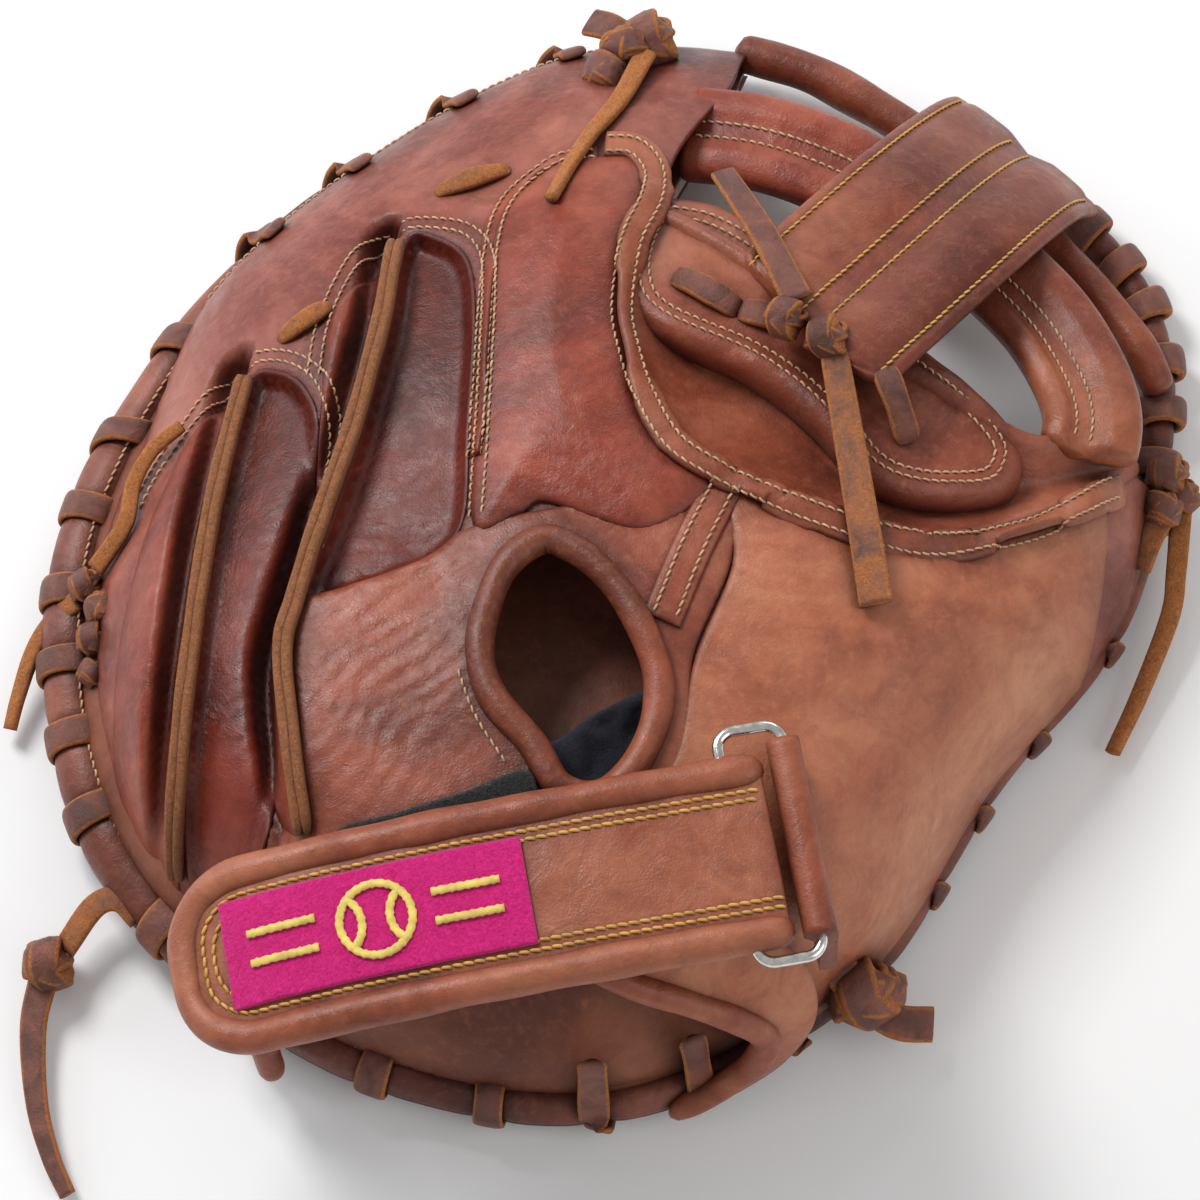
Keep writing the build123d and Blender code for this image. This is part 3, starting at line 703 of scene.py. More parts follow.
WINE = leather("leather_stall", (0.10, 0.015, 0.007), (0.26, 0.040, 0.018), (0.42, 0.105, 0.055))
SUNK = leather("leather_insert", (0.07, 0.008, 0.003), (0.16, 0.017, 0.007), (0.28, 0.044, 0.020), 0.4)
BROWN = leather("leather_hand", (0.14, 0.030, 0.015), (0.31, 0.074, 0.037), (0.47, 0.16, 0.09))
SHADE = leather("leather_fingertips", (0.09, 0.018, 0.011), (0.22, 0.046, 0.028), (0.42, 0.14, 0.095), 0.38)
TAN = leather("leather_thumb", (0.21, 0.052, 0.026), (0.44, 0.135, 0.066), (0.60, 0.25, 0.13), 0.42)
RUST = leather("leather_web", (0.11, 0.020, 0.009), (0.215, 0.046, 0.021), (0.38, 0.115, 0.052), 0.38)
EDGE = leather("leather_edge", (0.07, 0.018, 0.010), (0.17, 0.042, 0.024), (0.34, 0.11, 0.065), 0.42)
TRIM = leather("leather_trim", (0.13, 0.030, 0.014), (0.30, 0.074, 0.034), (0.44, 0.15, 0.075), 0.4)
INSIDE = leather("leather_lining", (0.13, 0.034, 0.018), (0.25, 0.072, 0.036), (0.38, 0.13, 0.065), 0.5, 0.6)
PALM = leather("leather_palm", (0.14, 0.038, 0.024), (0.28, 0.086, 0.052), (0.42, 0.16, 0.09), 0.45)
LACE = rawhide("rawhide_lace", (0.19, 0.062, 0.040), (0.40, 0.14, 0.038))
WELT = rawhide("raw_edge_welt", (0.15, 0.045, 0.022), (0.31, 0.115, 0.042), 1.6)
CREAM = thread("thread_cream", (0.70, 0.42, 0.24))
GOLD = thread("thread_gold", (0.80, 0.44, 0.10))
YELLOW = thread("thread_yellow", (0.95, 0.72, 0.16))
FELT = textile("felt_magenta", (0.50, 0.004, 0.12), (0.80, 0.025, 0.26), 900, 0.0006)
PAD = textile("wool_felt", (0.55, 0.5, 0.42), (0.75, 0.7, 0.6), 600, 0.0008)
NAVY = textile("neoprene_navy", (0.008, 0.008, 0.014), (0.026, 0.028, 0.044), 1800, 0.0003, 0.75, 0.2)
PILE = textile("loop_pile_black", (0.003, 0.003, 0.003), (0.035, 0.033, 0.032), 1400, 0.0012)
STEEL = metal("nickel_wire")

# ---------------------------------------------------------------- leather panels
SURFACES = []


def laid(obj):
    """Remembers a piece as something that stitches and laces may lie on."""
    SURFACES.append(obj)
    return obj


def tree_of(objects):
    """Search tree of the faces of several pieces, in millimetres."""
    verts, faces = [], []
    for obj in objects:
        first = len(verts)
        verts += [v.co / MM for v in obj.data.vertices]
        faces += [tuple(first + k for k in f.vertices) for f in obj.data.polygons]
    return BVHTree.FromPolygons(verts, faces)


def drape(xy, tree, lift=0.0):
    """Points on the topmost of a tree's faces at plan points, and the normals there."""
    points, normals = [], []
    for x, y in xy:
        hit, normal, _, _ = tree.ray_cast(Vector((x, y, 300)), Vector((0, 0, -1)))
        if hit is None:
            z = float(back(np.array([[x, y]]))[0])
            hit, normal = Vector((x, y, z)), Vector((0, 0, 1))
        if normal.z < 0:
            normal = -normal
        points.append(hit + normal * lift)
        normals.append(normal)
    normals = np.array(normals)
    soften(normals, 2)
    return np.array(points), unit(normals)


def rim_inset(inset, step=1.5):
    """Closed plan loop inside the rim."""
    loop = curve(RIM_NODES, step, True)
    return loop - sideways(loop, True) * inset


def rim_loop(share_of_roll, step=1.5):
    """Plan loop inside the rim by a share of the roll's half width."""
    return rim_inset(share_of_roll * roll_width(curve(RIM_NODES, step, True))[:, None], step)


def tucked(outline, inset):
    """Plan outline drawn in wherever it passes the rim moved in by an inset."""
    line = curve(outline, 3.0, True)
    k, _ = share(line, inset)
    return [tuple(p) for p in CROWN + (line - CROWN) / np.maximum(k, 1)[:, None]]


def coarse(loop, count=48):
    """Loop thinned out to about a number of points."""
    return [tuple(p) for p in loop[:: max(1, len(loop) // count)]]


ROLL = roll_width(curve(RIM_NODES, 1.5, True))
SHELL = coarse(rim_inset((ROLL * (0.35 + 0.55 * wide_roll(ROLL)))[:, None]))
own(laid(panel("back_shell", SHELL, SHADE, back, (WEB_WINDOW, WRIST_WINDOW, HAND_HOLE),
               step=2.0, lift=-1.7, roll=0.6, drop=1.5)), "fold", ["fingertip_band"])
for name, outline, mat, lift, body, nodes in (
    ("pinky_stall", PINKY_STALL, WINE, 0.2, "mitt", ["pinky_stall"]),
    ("ring_finger_insert", RING_INSERT, SUNK, -0.9, "mitt", ["ring_finger_insert"]),
    ("middle_stall", MIDDLE_STALL, WINE, 0.2, "mitt", ["middle_stall"]),
    ("index_finger_insert", INDEX_INSERT, SUNK, -0.9, "mitt", ["index_finger_insert"]),
    ("index_stall", INDEX_STALL, WINE, 0.0, "mitt", ["index_stall"]),
    ("hand_back", HAND_BACK, BROWN, -0.4, "mitt", ["hand_back"]),
    ("thumb_panel", tucked(THUMB_PANEL, 1.9), TAN, 0.0, "fold", ["thumb_panel", "thumb_base_panel"]),
    ("pocket_gusset", POCKET_GUSSET, BROWN, -0.6, "fold", ["pocket_gusset", "pocket_gusset_thumb_side"]),
):
    holes = (HAND_HOLE,) if name in ("hand_back", "index_stall") else ()
    own(laid(panel(name, outline, mat, back, holes, step=1.5, lift=lift)), body, nodes)

LINING_OUTLINE = coarse(rim_loop(1.25))
own(panel("palm_lining", LINING_OUTLINE, INSIDE, lining, (WEB_WINDOW,), step=2.6, roll=0.5, drop=1.0),
    "fold", ["palm_lining"])
HEEL_OUTLINE = ((-74, -98), (-40, -104), (0, -104), (28, -100), (34, -112), (16, -122), (-12, -128),
                (-40, -126), (-66, -116))
own(laid(panel("heel_lining", HEEL_OUTLINE, INSIDE, lining, step=1.8, lift=1.6, roll=1.2, drop=1.8)),
    "mitt", ["heel_lining"])
own(panel("palm_leather", LINING_OUTLINE, PALM, palm, (WEB_WINDOW,), step=2.6, roll=0.3, drop=0.5),
    "fold", ["palm_leather", "palm_leather_thumb_side"])
for name, outline, hole, lift, nodes in (
    ("palm_pad", coarse(rim_inset(30)), (), -1.6, ["palm_pad"]),
    ("rim_pad", coarse(rim_inset(13)), (coarse(rim_inset(29)),), -0.8, ["rim_pad", "rim_pad_thumb_side"]),
):
    own(panel(name, outline, PAD, lining, (*hole, WEB_WINDOW), step=4, lift=lift, roll=1, drop=6),
        "fold", nodes)
LINER = ((-36, -60), (-16, -58), (-4, -50), (12, -44), (24, -56), (24, -84), (-36, -86))
own(laid(settled(panel("wrist_liner", LINER, NAVY,
                       lambda xy: dome(xy, 64, 8, 9, 0.7) + 0.5 * noise2(xy, 9, 2), step=1.6))),
    "mitt", ["wrist_liner"])
LOOP = ((-64, -81), (-49, -77), (-34.5, -72.6), (-20.9, -67.8), (-17.6, -74), (-20, -86), (-60, -92))
own(laid(panel("loop_patch", LOOP, PILE, lambda xy: back(xy) + 0.25 * noise2(xy, 1.6, 8),
               step=0.8, lift=2.6, roll=1.2, drop=2.2)),
    "mitt", ["loop_patch"])

BACK_TREE = tree_of(SURFACES)


# ---------------------------------------------------------------- the rolled rim and its lacing
def rim_path(first, last):
    """Open run of the rolled rim's middle line between two directions, and its outward normals."""
    loop = rim_loop(1.0, 1.2)
    angle = bearing(loop)
    start = np.argmin(np.abs((angle - first + 180) % 360 - 180))
    loop = np.roll(loop, -start, axis=0)
    angle = (np.roll(angle, -start) - first) % 360
    keep = angle <= last - first
    keep[len(keep) // 2:] &= angle[len(keep) // 2:] > 20
    path = loop[keep]
    path = curve([tuple(p) for p in path[::6]], 1.2)
    return path, sideways(path)


RIM_FIRST, RIM_LAST = 86, 409
RIM_LINE, RIM_OUT = rim_path(RIM_FIRST, RIM_LAST)
RIM_ARC = np.concatenate([[0], np.cumsum(np.linalg.norm(np.diff(RIM_LINE, axis=0), axis=1))])
RIM_HALF = roll_width(RIM_LINE)
RIM_UP = np.array((0.0, 0, 3))  # as long as the upward vectors on the roll
ROLL_TALL = 1.05  # height of the roll over its width
BARE_LACE, BARE_SEAM = 5.0, 5.3  # half widths past which the roll is bare to the lace and to the seam
# directions of the whip stitches from the origin, degrees, and the run of rim whose stitches start underneath
LACE_BEARINGS = (96, 108, 122, 136, 150, 163, 172.5, 181, 189, 197, 205.5, 219, 232, 245, 257, 268, 279, 290,
                 302, 314, 327, 340, 353, *range(369, 405, 5))
COVERED = (292, 362)


def arc_at(angle):
    """Distance along the rolled rim in a direction from the origin."""
    way = (bearing(RIM_LINE) - RIM_FIRST + 5) % 360
    return RIM_ARC[np.argmin(np.abs(way - (angle - RIM_FIRST + 5)))]


LACE_AT = np.array([arc_at(way) for way in LACE_BEARINGS]) + RNG.uniform(-1.0, 1.0, len(LACE_BEARINGS))


def rim_squeeze(s):
    """How far the roll is pulled in by the laces at a distance along it."""
    s = np.asarray(s)
    return 1 - 0.17 * hump(np.min(np.abs(s[..., None] - LACE_AT), axis=-1), 3.6) + 0.03 * np.sin(s / 7.0)


def rim_surface(s, turn, extra=0.0):
    """Point on the roll: s along it, turn in degrees from straight out (0) to the top (90)."""
    middle = np.array([np.interp(s, RIM_ARC, RIM_LINE[:, k]) for k in (0, 1)])
    out = np.array([np.interp(s, RIM_ARC, RIM_OUT[:, k]) for k in (0, 1)])
    half = float(np.interp(s, RIM_ARC, RIM_HALF))
    size = half * float(rim_squeeze(s)) + extra
    a = math.radians(turn)
    height = ROLL_LIFT + (half + math.sin(a) * size) * ROLL_TALL
    return np.array([*(middle + out * math.cos(a) * size), height])


def rim_roll():
    """The rolled edge of the mitt, with the seam between its two leathers along the outside."""
    turns = np.radians(np.concatenate([np.arange(-180, -10, 17), (-8, -3, 0, 3, 8), np.arange(18, 175, 17)]))
    groove = 1 - 0.10 * hump(np.degrees(turns), 4.5)
    size = (RIM_HALF * rim_squeeze(RIM_ARC))[:, None] * groove
    xy = RIM_LINE[:, None] + RIM_OUT[:, None] * (np.cos(turns) * size)[..., None]
    z = ROLL_LIFT + (RIM_HALF[:, None] + np.sin(turns) * size) * ROLL_TALL
    verts = np.concatenate([xy, z[..., None]], axis=2).reshape(-1, 3)
    faces = [face[::-1] for face in tube_faces(len(RIM_LINE), len(turns))]
    return build("rim_roll", verts, faces, EDGE, np.tile(hump(np.degrees(turns), 7), len(RIM_LINE)))


own(rim_roll(), "fold", [])


def rim_run(s):
    """One visible run of the whip-stitched lace: out of the back, over the roll and under it."""
    half = float(np.interp(s, RIM_ARC, RIM_HALF))
    lean = RNG.uniform(8.0, 10.0) if s < arc_at(168) else RNG.uniform(0.5, 3.0)
    bare = half > BARE_LACE
    covered = arc_at(COVERED[0]) < s < arc_at(COVERED[1])
    webbed = s > arc_at(COVERED[1])
    first = 150 if bare else 172 if webbed else 35
    turns = np.linspace(first, -112, 20)
    points, ups = [], []
    if not (bare or covered or webbed):
        for inset, lift in ((8.0, -2.0), (7.0, 0.6), (5.0, 1.1), (3.2, 1.1)):
            place = rim_surface(s - lean * 0.5, 0, -inset)
            place[2] = float(back(place[None, :2])[0]) + lift
            points.append(place)
            ups.append(RIM_UP)
    for i, turn in enumerate(turns):
        along = s + lean * (i / 19 - 0.5)
        rise = 1.1 - 2.6 * (i == 0 and (bare or covered)) + 0.6 * webbed
        points.append(rim_surface(along, turn, rise + 0.5 * math.sin(math.pi * i / 19)))
        ups.append(points[-1] - rim_surface(along, turn, -3))
    path = curve([tuple(p) for p in points], 1.2)
    place = np.linspace(0, len(ups) - 1, len(path))
    ups = np.array(ups)
    up = np.column_stack([np.interp(place, range(len(ups)), ups[:, k]) for k in range(3)])
    return lace_part(path, up, RNG.uniform(6.8, 7.8), 3.0 if webbed else 2.0)


def laces(name, bits, body, nodes):
    """One piece from bits of lace and their raw-edge values."""
    return own(joined(name, [b[0] for b in bits], LACE, [b[1] for b in bits]), body, nodes)


def rim_lacing(name, first, last, body):
    """The whip stitches between two distances along the roll, as one piece."""
    laces(name, [rim_run(s) for s in LACE_AT if first <= s < last], body, [name])


rim_lacing("rim_lace_fingers", 0, arc_at(222), "mitt")
rim_lacing("rim_lace_heel", arc_at(222), arc_at(292), "mitt")
rim_lacing("rim_lace_thumb", arc_at(292), math.inf, "fold")


# ---------------------------------------------------------------- strips, bands and bindings
def strip(name, path_xy, width, thickness, material, lift):
    """Leather strip laid along a plan curve, bridging the seams of the leather below it."""
    line = curve(path_xy, 1.3)
    points, normals = drape(line, BACK_TREE, lift)
    for _ in range(12):
        level = points[:, 2].copy()
        soften(level, 1)
        points[:, 2] = np.maximum(level, points[:, 2] - 0.02)
    soften(points[:, 2], 4)
    soften(normals, 16)
    section = oval(width, thickness, 18, 3.0)
    verts, faces = sweep_arrays(points, normals, section)
    return build(name, verts, faces, material, 0.8 * raw_sides(section, len(points), 0.8))


def double_edge(path_xy, width, gap, height):
    """Two raw leather edges standing side by side along a welt."""
    line = curve(path_xy, 0.9)
    points, _ = drape(line, BACK_TREE)
    soften(points[:, 2], 14)
    level = upward(len(line))
    across, _ = frames(points, level)
    parts, raws = [], []
    for sign, tall in ((-1, height), (1, height * 0.86)):
        i = np.arange(len(line))[:, None]
        wave = 0.35 * np.sin(i * 0.21 + sign) + 0.1 * np.sin(i * 0.47)
        middle = points + across * (sign * gap / 2 + 0.12 * wave) + level * (0.6 + 0.5 * wave)
        section = oval(width, tall, 14, 3.4)
        parts.append(sweep_arrays(middle, level, section, taper=0.03))
        raws.append(np.tile(smooth((section[:, 1] / (tall / 2) - 0.35) / 0.35), len(points)))
    return parts, raws


for name, path in (("pinky_welt", PINKY_WELT_PATH), ("middle_welt", MIDDLE_WELT_PATH)):
    parts, raws = double_edge(path, 2.9, 1.9, 7.5)
    own(joined(name, parts, WELT, raws), "mitt", [name])

for name, path, width, thickness, mat, lift, body, nodes in (
    ("seam_band", SEAM_PATH, 8.4, 3.0, TRIM, 1.4, "fold", ["seam_band", "seam_band_thumb_side"]),
    ("thumb_seam_strip", THUMB_SEAM_PATH, 9.4, 2.0, BROWN, 0.2, "mitt", ["thumb_seam_strip"]),
    ("fingertip_seam_band", INDEX_TIP_BORDER, 6.5, 1.6, WINE, 0.0, "mitt", ["fingertip_seam_band"]),
):
    own(laid(strip(name, path, width, thickness, mat, lift)), body, nodes)


def rolled(name, path, material, radius, up=(0.0, 0, 1), closed=False, taper=0.0):
    """Rolled leather cord with soft dents along a 3-D path."""
    s = np.arange(len(path))
    dent = 1 + 0.03 * (np.sin(s * 0.37 + RNG.uniform(0, 6)) + np.sin(s * 0.13 + RNG.uniform(0, 6)))
    verts, faces = sweep_arrays(path, np.tile(up, (len(path), 1)), oval(radius * 2, radius * 2, 16),
                                np.column_stack([dent, dent]), closed, taper)
    return build(name, verts, faces, material)


hole_line = curve(HAND_HOLE, 1.2, True)
hole_path = np.column_stack([hole_line, dome(hole_line, BACK_HEIGHT, 8, 6, BACK_POWER) + 1.4])
own(laid(rolled("hand_hole_binding", hole_path, TRIM, 3.5, closed=True)), "mitt", ["hand_hole_binding"])

# 3-D lines of the wrist flaps' bound edges
PINKY_FLAP = ((-74, -90, 52), (-79, -104, 43), (-82, -116, 28), (-80, -124, 14))
THUMB_FLAP = ((-12, -106, 63), (1.5, -113, 59), (16, -116, 52), (27.5, -118, 44), (34.5, -119.6, 34),
              (32.6, -123, 24), (25.7, -126, 15), (13, -132, 9))
for name, points in (("pinky_flap_binding", PINKY_FLAP), ("thumb_flap_binding", THUMB_FLAP)):
    own(rolled(name, curve(points, 1.2), TRIM, 3.4, (0.3, -0.2, 1.0), taper=0.08), "mitt", [name])


def flap(name, rails, material, thickness=3.0):
    """Curved leather between two 3-D lines, bulging between them."""
    low, high = (curve(r, 1.5) for r in rails)
    count = max(len(low), len(high))
    low, high = (np.column_stack([np.interp(np.linspace(0, 1, count), np.linspace(0, 1, len(r)), r[:, k])
                                  for k in range(3)]) for r in (low, high))
    steps = np.linspace(0, 1, 12)
    top = low[:, None] * (1 - steps)[None, :, None] + high[:, None] * steps[None, :, None]
    top[..., 2] += 2.0 * np.sin(math.pi * steps)
    under = top.copy()
    under[..., 2] -= thickness
    m = len(steps)
    verts = np.concatenate([top.reshape(-1, 3), under.reshape(-1, 3)])
    size = count * m
    faces = []
    for i in range(count - 1):
        for k in range(m - 1):
            face = (i * m + k, (i + 1) * m + k, (i + 1) * m + k + 1, i * m + k + 1)
            faces += [face, tuple(size + v for v in face[::-1])]
        faces += [(i * m + k, (i + 1) * m + k, size + (i + 1) * m + k, size + i * m + k) for k in (0, m - 1)]
    return build(name, verts, faces, material)


# inner faces of the two wrist flaps, which close the sides of the hand opening
THUMB_FLAP_TOP = ((-4, -95, 70), (14, -97, 67), (30, -99, 60), (40, -103, 52), (46, -109, 40),
                  (46, -115, 28), (38, -122, 17), (22, -130, 9))
PINKY_FLAP_TOP = ((-92, -86, 46), (-98, -96, 36), (-96, -106, 24), (-90, -114, 14))
own(laid(flap("thumb_flap", (THUMB_FLAP, THUMB_FLAP_TOP), TAN)), "mitt", [])
own(laid(flap("pinky_flap", (PINKY_FLAP, PINKY_FLAP_TOP), BROWN)), "mitt", [])


# ---------------------------------------------------------------- web
def bar_section(width, thickness, valley, wide):
    """Flat bar section: two padded halves of the wide bar, or a stitched flat between two rolled edges."""
    x, y = oval(width, thickness, 72, 4.5)[:, 0], oval(width, thickness, 72, 2.6)[:, 1]
    if wide:
        dip = 0.8 * hump(x - valley, 1.3) + 0.25 * hump(x - valley, 4)
        dip += 0.28 * hump(np.abs(x) - width / 2 + 3.6, 1.6)
    else:
        dip = 0.45 * smooth((5.0 - np.abs(x - valley)) / 2.5)
    return np.column_stack([x, y * (1 - dip)])


def stitched_bar(name, points, width, thickness, valley, material, body, skew=0.0):
    """Leather bar carried along a curve, wide and slanted at its start if it has a skew."""
    path = curve(points, 1.4)
    section = bar_section(width, thickness, valley, skew > 0)
    verts, faces = sweep_arrays(path, upward(len(path)), section, taper=0.04)
    slide = (1 - smooth(np.linspace(0, 1, len(path)) / 0.35))[:, None] * -skew * section[:, 0][None] / width
    verts = verts + (slide[..., None] * unit(np.gradient(path, axis=0))[:, None]).reshape(-1, 3)
    return own(laid(build(name, verts, faces, material)), body, [name]), path


INDEX_OBJ, INDEX_BAR = stitched_bar(
    "web_index_bar", ((17.5, 112, 32), (36, 108, 35), (53.5, 101, 36), (70, 91.5, 35)), 25, 10, 0, WINE,
    "mitt")
THUMB_OBJ, THUMB_BAR = stitched_bar(
    "web_thumb_bar", ((88, 79, 33), (95.7, 70.4, 36), (105.8, 57.9, 37), (112.8, 42.4, 40), (114.8, 30.5, 43),
                      (113, 20, 44)), 24, 10, 2, RUST, "thumb_side")
CROSS_OBJ, CROSSBAR = stitched_bar(
    "web_crossbar", ((45.3, 43, 68.5), (51.5, 50.3, 66), (58.6, 58.7, 61.5), (69, 70.7, 56), (79.4, 82.7, 50),
                     (89, 95, 40), (97.9, 106.5, 27.5), (104.5, 114, 15)), 48, 6.5, -1, RUST, "fold", skew=4)
for name, points, radius, body in (
    ("web_top_tube", ((31, 143.5, 15), (48.6, 137.5, 15.5), (61, 130.5, 15.5), (75, 121, 15), (85, 112, 13)),
     5.0, "mitt"),
    ("web_outer_tube", ((104, 97, 16), (109.5, 88.5, 18), (121.6, 73, 18), (130.2, 60, 18), (135.5, 49, 15)),
     4.3, "thumb_side"),
):
    own(laid(rolled(name, curve(points, 1.3), RUST, radius, taper=0.05)), body, [name])


def pad_level(xy):
    """Top of the padded leather leaf the web is laced to."""
    rim = within(xy, WEB_BASE)
    puff = 3.4 * (1 - np.exp(-rim / 3)) - 1.3 * smooth((rim - 5) / 4)
    return dome(xy, 68, 8, 5.0, BACK_POWER) + puff + 0.3 * noise2(xy, 15, 9)


WEB_PAD = own(laid(panel("web_base_pad", WEB_BASE, BROWN, pad_level, step=1.3, roll=2.4, drop=5.0)),
              "fold", ["web_base_pad"])
TOP_TREE = tree_of(SURFACES)


# ---------------------------------------------------------------- stitching
STITCH_SLANT = 0.18


def stitch_parts(points, normals, pitch=2.3, length=1.85, radius=0.3):
    """Slanted thread stitches along a 3-D line."""
    arc = np.concatenate([[0], np.cumsum(np.linalg.norm(np.diff(points, axis=0), axis=1))])
    shape = oval(2 * radius, 2 * radius, 6)
    parts = []
    for i in range(int(arc[-1] / pitch)):
        start = i * pitch + (pitch - length) / 2
        ends = np.interp([start, start + length], arc, range(len(arc)))
        a, b = (np.array([np.interp(e, range(len(arc)), points[:, k]) for k in range(3)]) for e in ends)
        n = normals[int(ends[0])]
        aside = np.cross(b - a, n)
        aside *= STITCH_SLANT / (np.linalg.norm(aside) + 1e-9)
        a, b = a - aside, b + aside
        path = np.array([a - n * 0.45, a + (b - a) * 0.2 + n * 0.12, (a + b) / 2 + n * 0.22,
                         b + (a - b) * 0.2 + n * 0.12, b - n * 0.45])
        parts.append(sweep_arrays(path, np.tile(n, (5, 1)), shape))
    return parts


def shifted(line, amount):
    """Plan curve moved sideways, to its right."""
    return line + sideways(line) * amount


def rows(path, *offsets):
    """Plan curves beside a path."""
    line = curve(path, 1.0)
    return [shifted(line, offset) for offset in offsets]


def sew(name, lines, tree, material, body):
    """Stitch rows along plan lines laid on the leather, broken where the leather below has a step."""
    parts = []
    for line in lines:
        points, normals = drape(line, tree, 0.15)
        jump = np.abs(np.diff(points[:, 2])) > 3.5
        cuts = [0, *(np.nonzero(jump)[0] + 1), len(points)]
        for a, b in zip(cuts[:-1], cuts[1:]):
            if b - a > 3:
                parts += stitch_parts(points[a:b], normals[a:b])
    own(joined(name, parts, material), body, [])


BACK_SEAMS = (rows(SEAM_PATH, -2.3, 2.3) + rows(THUMB_SEAM_PATH[:2] + ((11, -31),), -2.6, 2.6)
              + rows(((-36, -43), (-32, -54), (-24.5, -66)), 0)
              + rows(RING_BORDER, -1.5, -4.3) + rows(INDEX_BORDER, -1.6, -4.6)
              + rows(INDEX_TIP_BORDER, -1.6, 1.6))
sew("seam_stitches", BACK_SEAMS, TOP_TREE, CREAM, "fold")


def inner_loop(outline, amount):
    """Closed outline moved inward."""
    loop = curve(outline, 1.0, True)
    return loop - sideways(loop, True) * winding(loop) * amount


sew("web_base_stitches", [inner_loop(WEB_BASE, a) for a in (5.2, 7.6)], tree_of([WEB_PAD]), CREAM, "fold")
for name, path, offsets, bar, material, body in (
    ("web_crossbar_stitches", CROSSBAR, (-20.8, -4.0, 2.0, 20.2), CROSS_OBJ, GOLD, "fold"),
    ("web_index_bar_stitches", INDEX_BAR, (-2.2, 2.0), INDEX_OBJ, CREAM, "mitt"),
    ("web_thumb_bar_stitches", THUMB_BAR, (0.2, 4.0), THUMB_OBJ, CREAM, "thumb_side"),
):
    sew(name, [shifted(path[2:-2, :2], offset) for offset in offsets], tree_of([bar]), material, body)


def rim_seam():
    """Stitch row that closes the rolled rim: beside the roll, or on it where it is wide and bare."""
    lines, run, kind = [], [], None
    for s in np.arange(3, RIM_ARC[-1] - 3, 1.0):
        bare = float(np.interp(s, RIM_ARC, RIM_HALF)) > BARE_SEAM
        if bare != kind and run:
            lines.append(run)
            run = []
        kind = bare
        if bare:
            point = rim_surface(s, 108, 0.15)
            run.append((point, point - rim_surface(s, 108, -3)))
            continue
        spot = rim_surface(s, 0, -4.2)[None, :2]
        if s < arc_at(COVERED[0]) and within(spot, WRIST_WINDOW)[0] == 0:
            place, normal = drape(spot, BACK_TREE, 0.15)
            run.append((place[0], normal[0]))
    parts = []
    for line in lines + [run]:
        if len(line) > 8:
            points, normals = (np.array(column) for column in zip(*line))
            parts += stitch_parts(points, unit(normals))
    return parts


own(joined("rim_stitches", rim_seam(), CREAM), "fold", [])


# ---------------------------------------------------------------- knots and loose ends
def band(centre, axis, size, width, thickness):
    """Closed turn of flat lace round an axis."""
    axis = np.array(axis, float) / np.linalg.norm(axis)
    first = np.cross(axis, (0.1, 0.2, 1.0))
    first /= np.linalg.norm(first)
    t = np.linspace(0, 2 * math.pi, 30, endpoint=False)[:, None]
    out = np.cos(t) * first + np.sin(t) * np.cross(axis, first)
    path = np.array(centre) + out * size * (1 + 0.10 * np.sin(3 * t)) + axis * 0.22 * size * np.sin(2 * t)
    section = oval(width, thickness, 16, 3.2)
    return sweep_arrays(path, out, section, closed=True), raw_sides(section, len(path), 0.7)


def knot_parts(centre, size, turn, lean=0.15):
    """Lace tied tight: a core with three turns crossing over it."""
    parts = [band(centre, (math.cos(turn), math.sin(turn), 0.3), 0.42 * size, 1.3 * size, 1.1 * size)]
    for swing, rise, shrink in ((0.0, lean, 1.0), (1.25, 0.55, 0.9), (-0.95, -0.3, 0.84)):
        axis = (math.cos(turn + swing), math.sin(turn + swing), rise)
        parts.append(band(centre, axis, shrink * size * 0.8, 1.1 * size, 0.36 * size))
    return parts


def loose_end(points, width, twist, thickness=2.2, flare=0.0, fuzzy=0.0):
    """Hanging lace end that turns by a twist in degrees and widens by a flare as it goes."""
    path = curve(points, 1.3)
    n = len(path)
    level, lift = frames(path, (0, 0, 1.0))
    a = np.radians(np.linspace(0, twist, n))[:, None]
    section = oval(width, thickness, 16, 3.4)
    scale = np.column_stack([1 + flare * np.linspace(0, 1, n), np.ones(n)])
    return (sweep_arrays(path, lift * np.cos(a) + level * np.sin(a), section, scale),
            np.maximum(raw_sides(section, n), fuzzy))


def tied(name, knots, ends, body="mitt"):
    """One knot piece: knots as (centre, size, turn, lean), ends as loose_end takes them."""
    bits = [part for k in knots for part in knot_parts(*k)] + [loose_end(*e) for e in ends]
    laces(name, bits, body, [name])


tied("web_knot", [((40.0, 45.5, 70.5), 5.2, -0.3), ((49.6, 40.3, 71), 5.4, 0.2, 0.4)], [
    (((43, 49.5, 72), (36, 65.5, 70.5), (30.5, 76.5, 68), (26, 86.5, 63)), 7.6, 10, 2.2, -0.18),
    (((51.5, 37, 70), (55.7, 8, 69), (58, -9, 69), (60.2, -25.8, 68.5)), 6.8, 20, 2.6, 0.2, 0.45),
])
tied("top_knot", [((8.5, 139.5, 29), 7.4, 0.5), ((-1.5, 129, 31), 6.4, 1.3), ((2.5, 135, 33), 6.0, 2.2)], [
    (((8, 133, 35), (1.7, 117.5, 41), (-5.5, 105, 47), (-10.5, 94, 53), (-15.3, 81.7, 59)),
     5.4, 40, 2.6, -0.4, 0.8),
    (((4, 139, 29), (-1, 143, 29), (-6, 146, 26)), 8.0, 0),
])
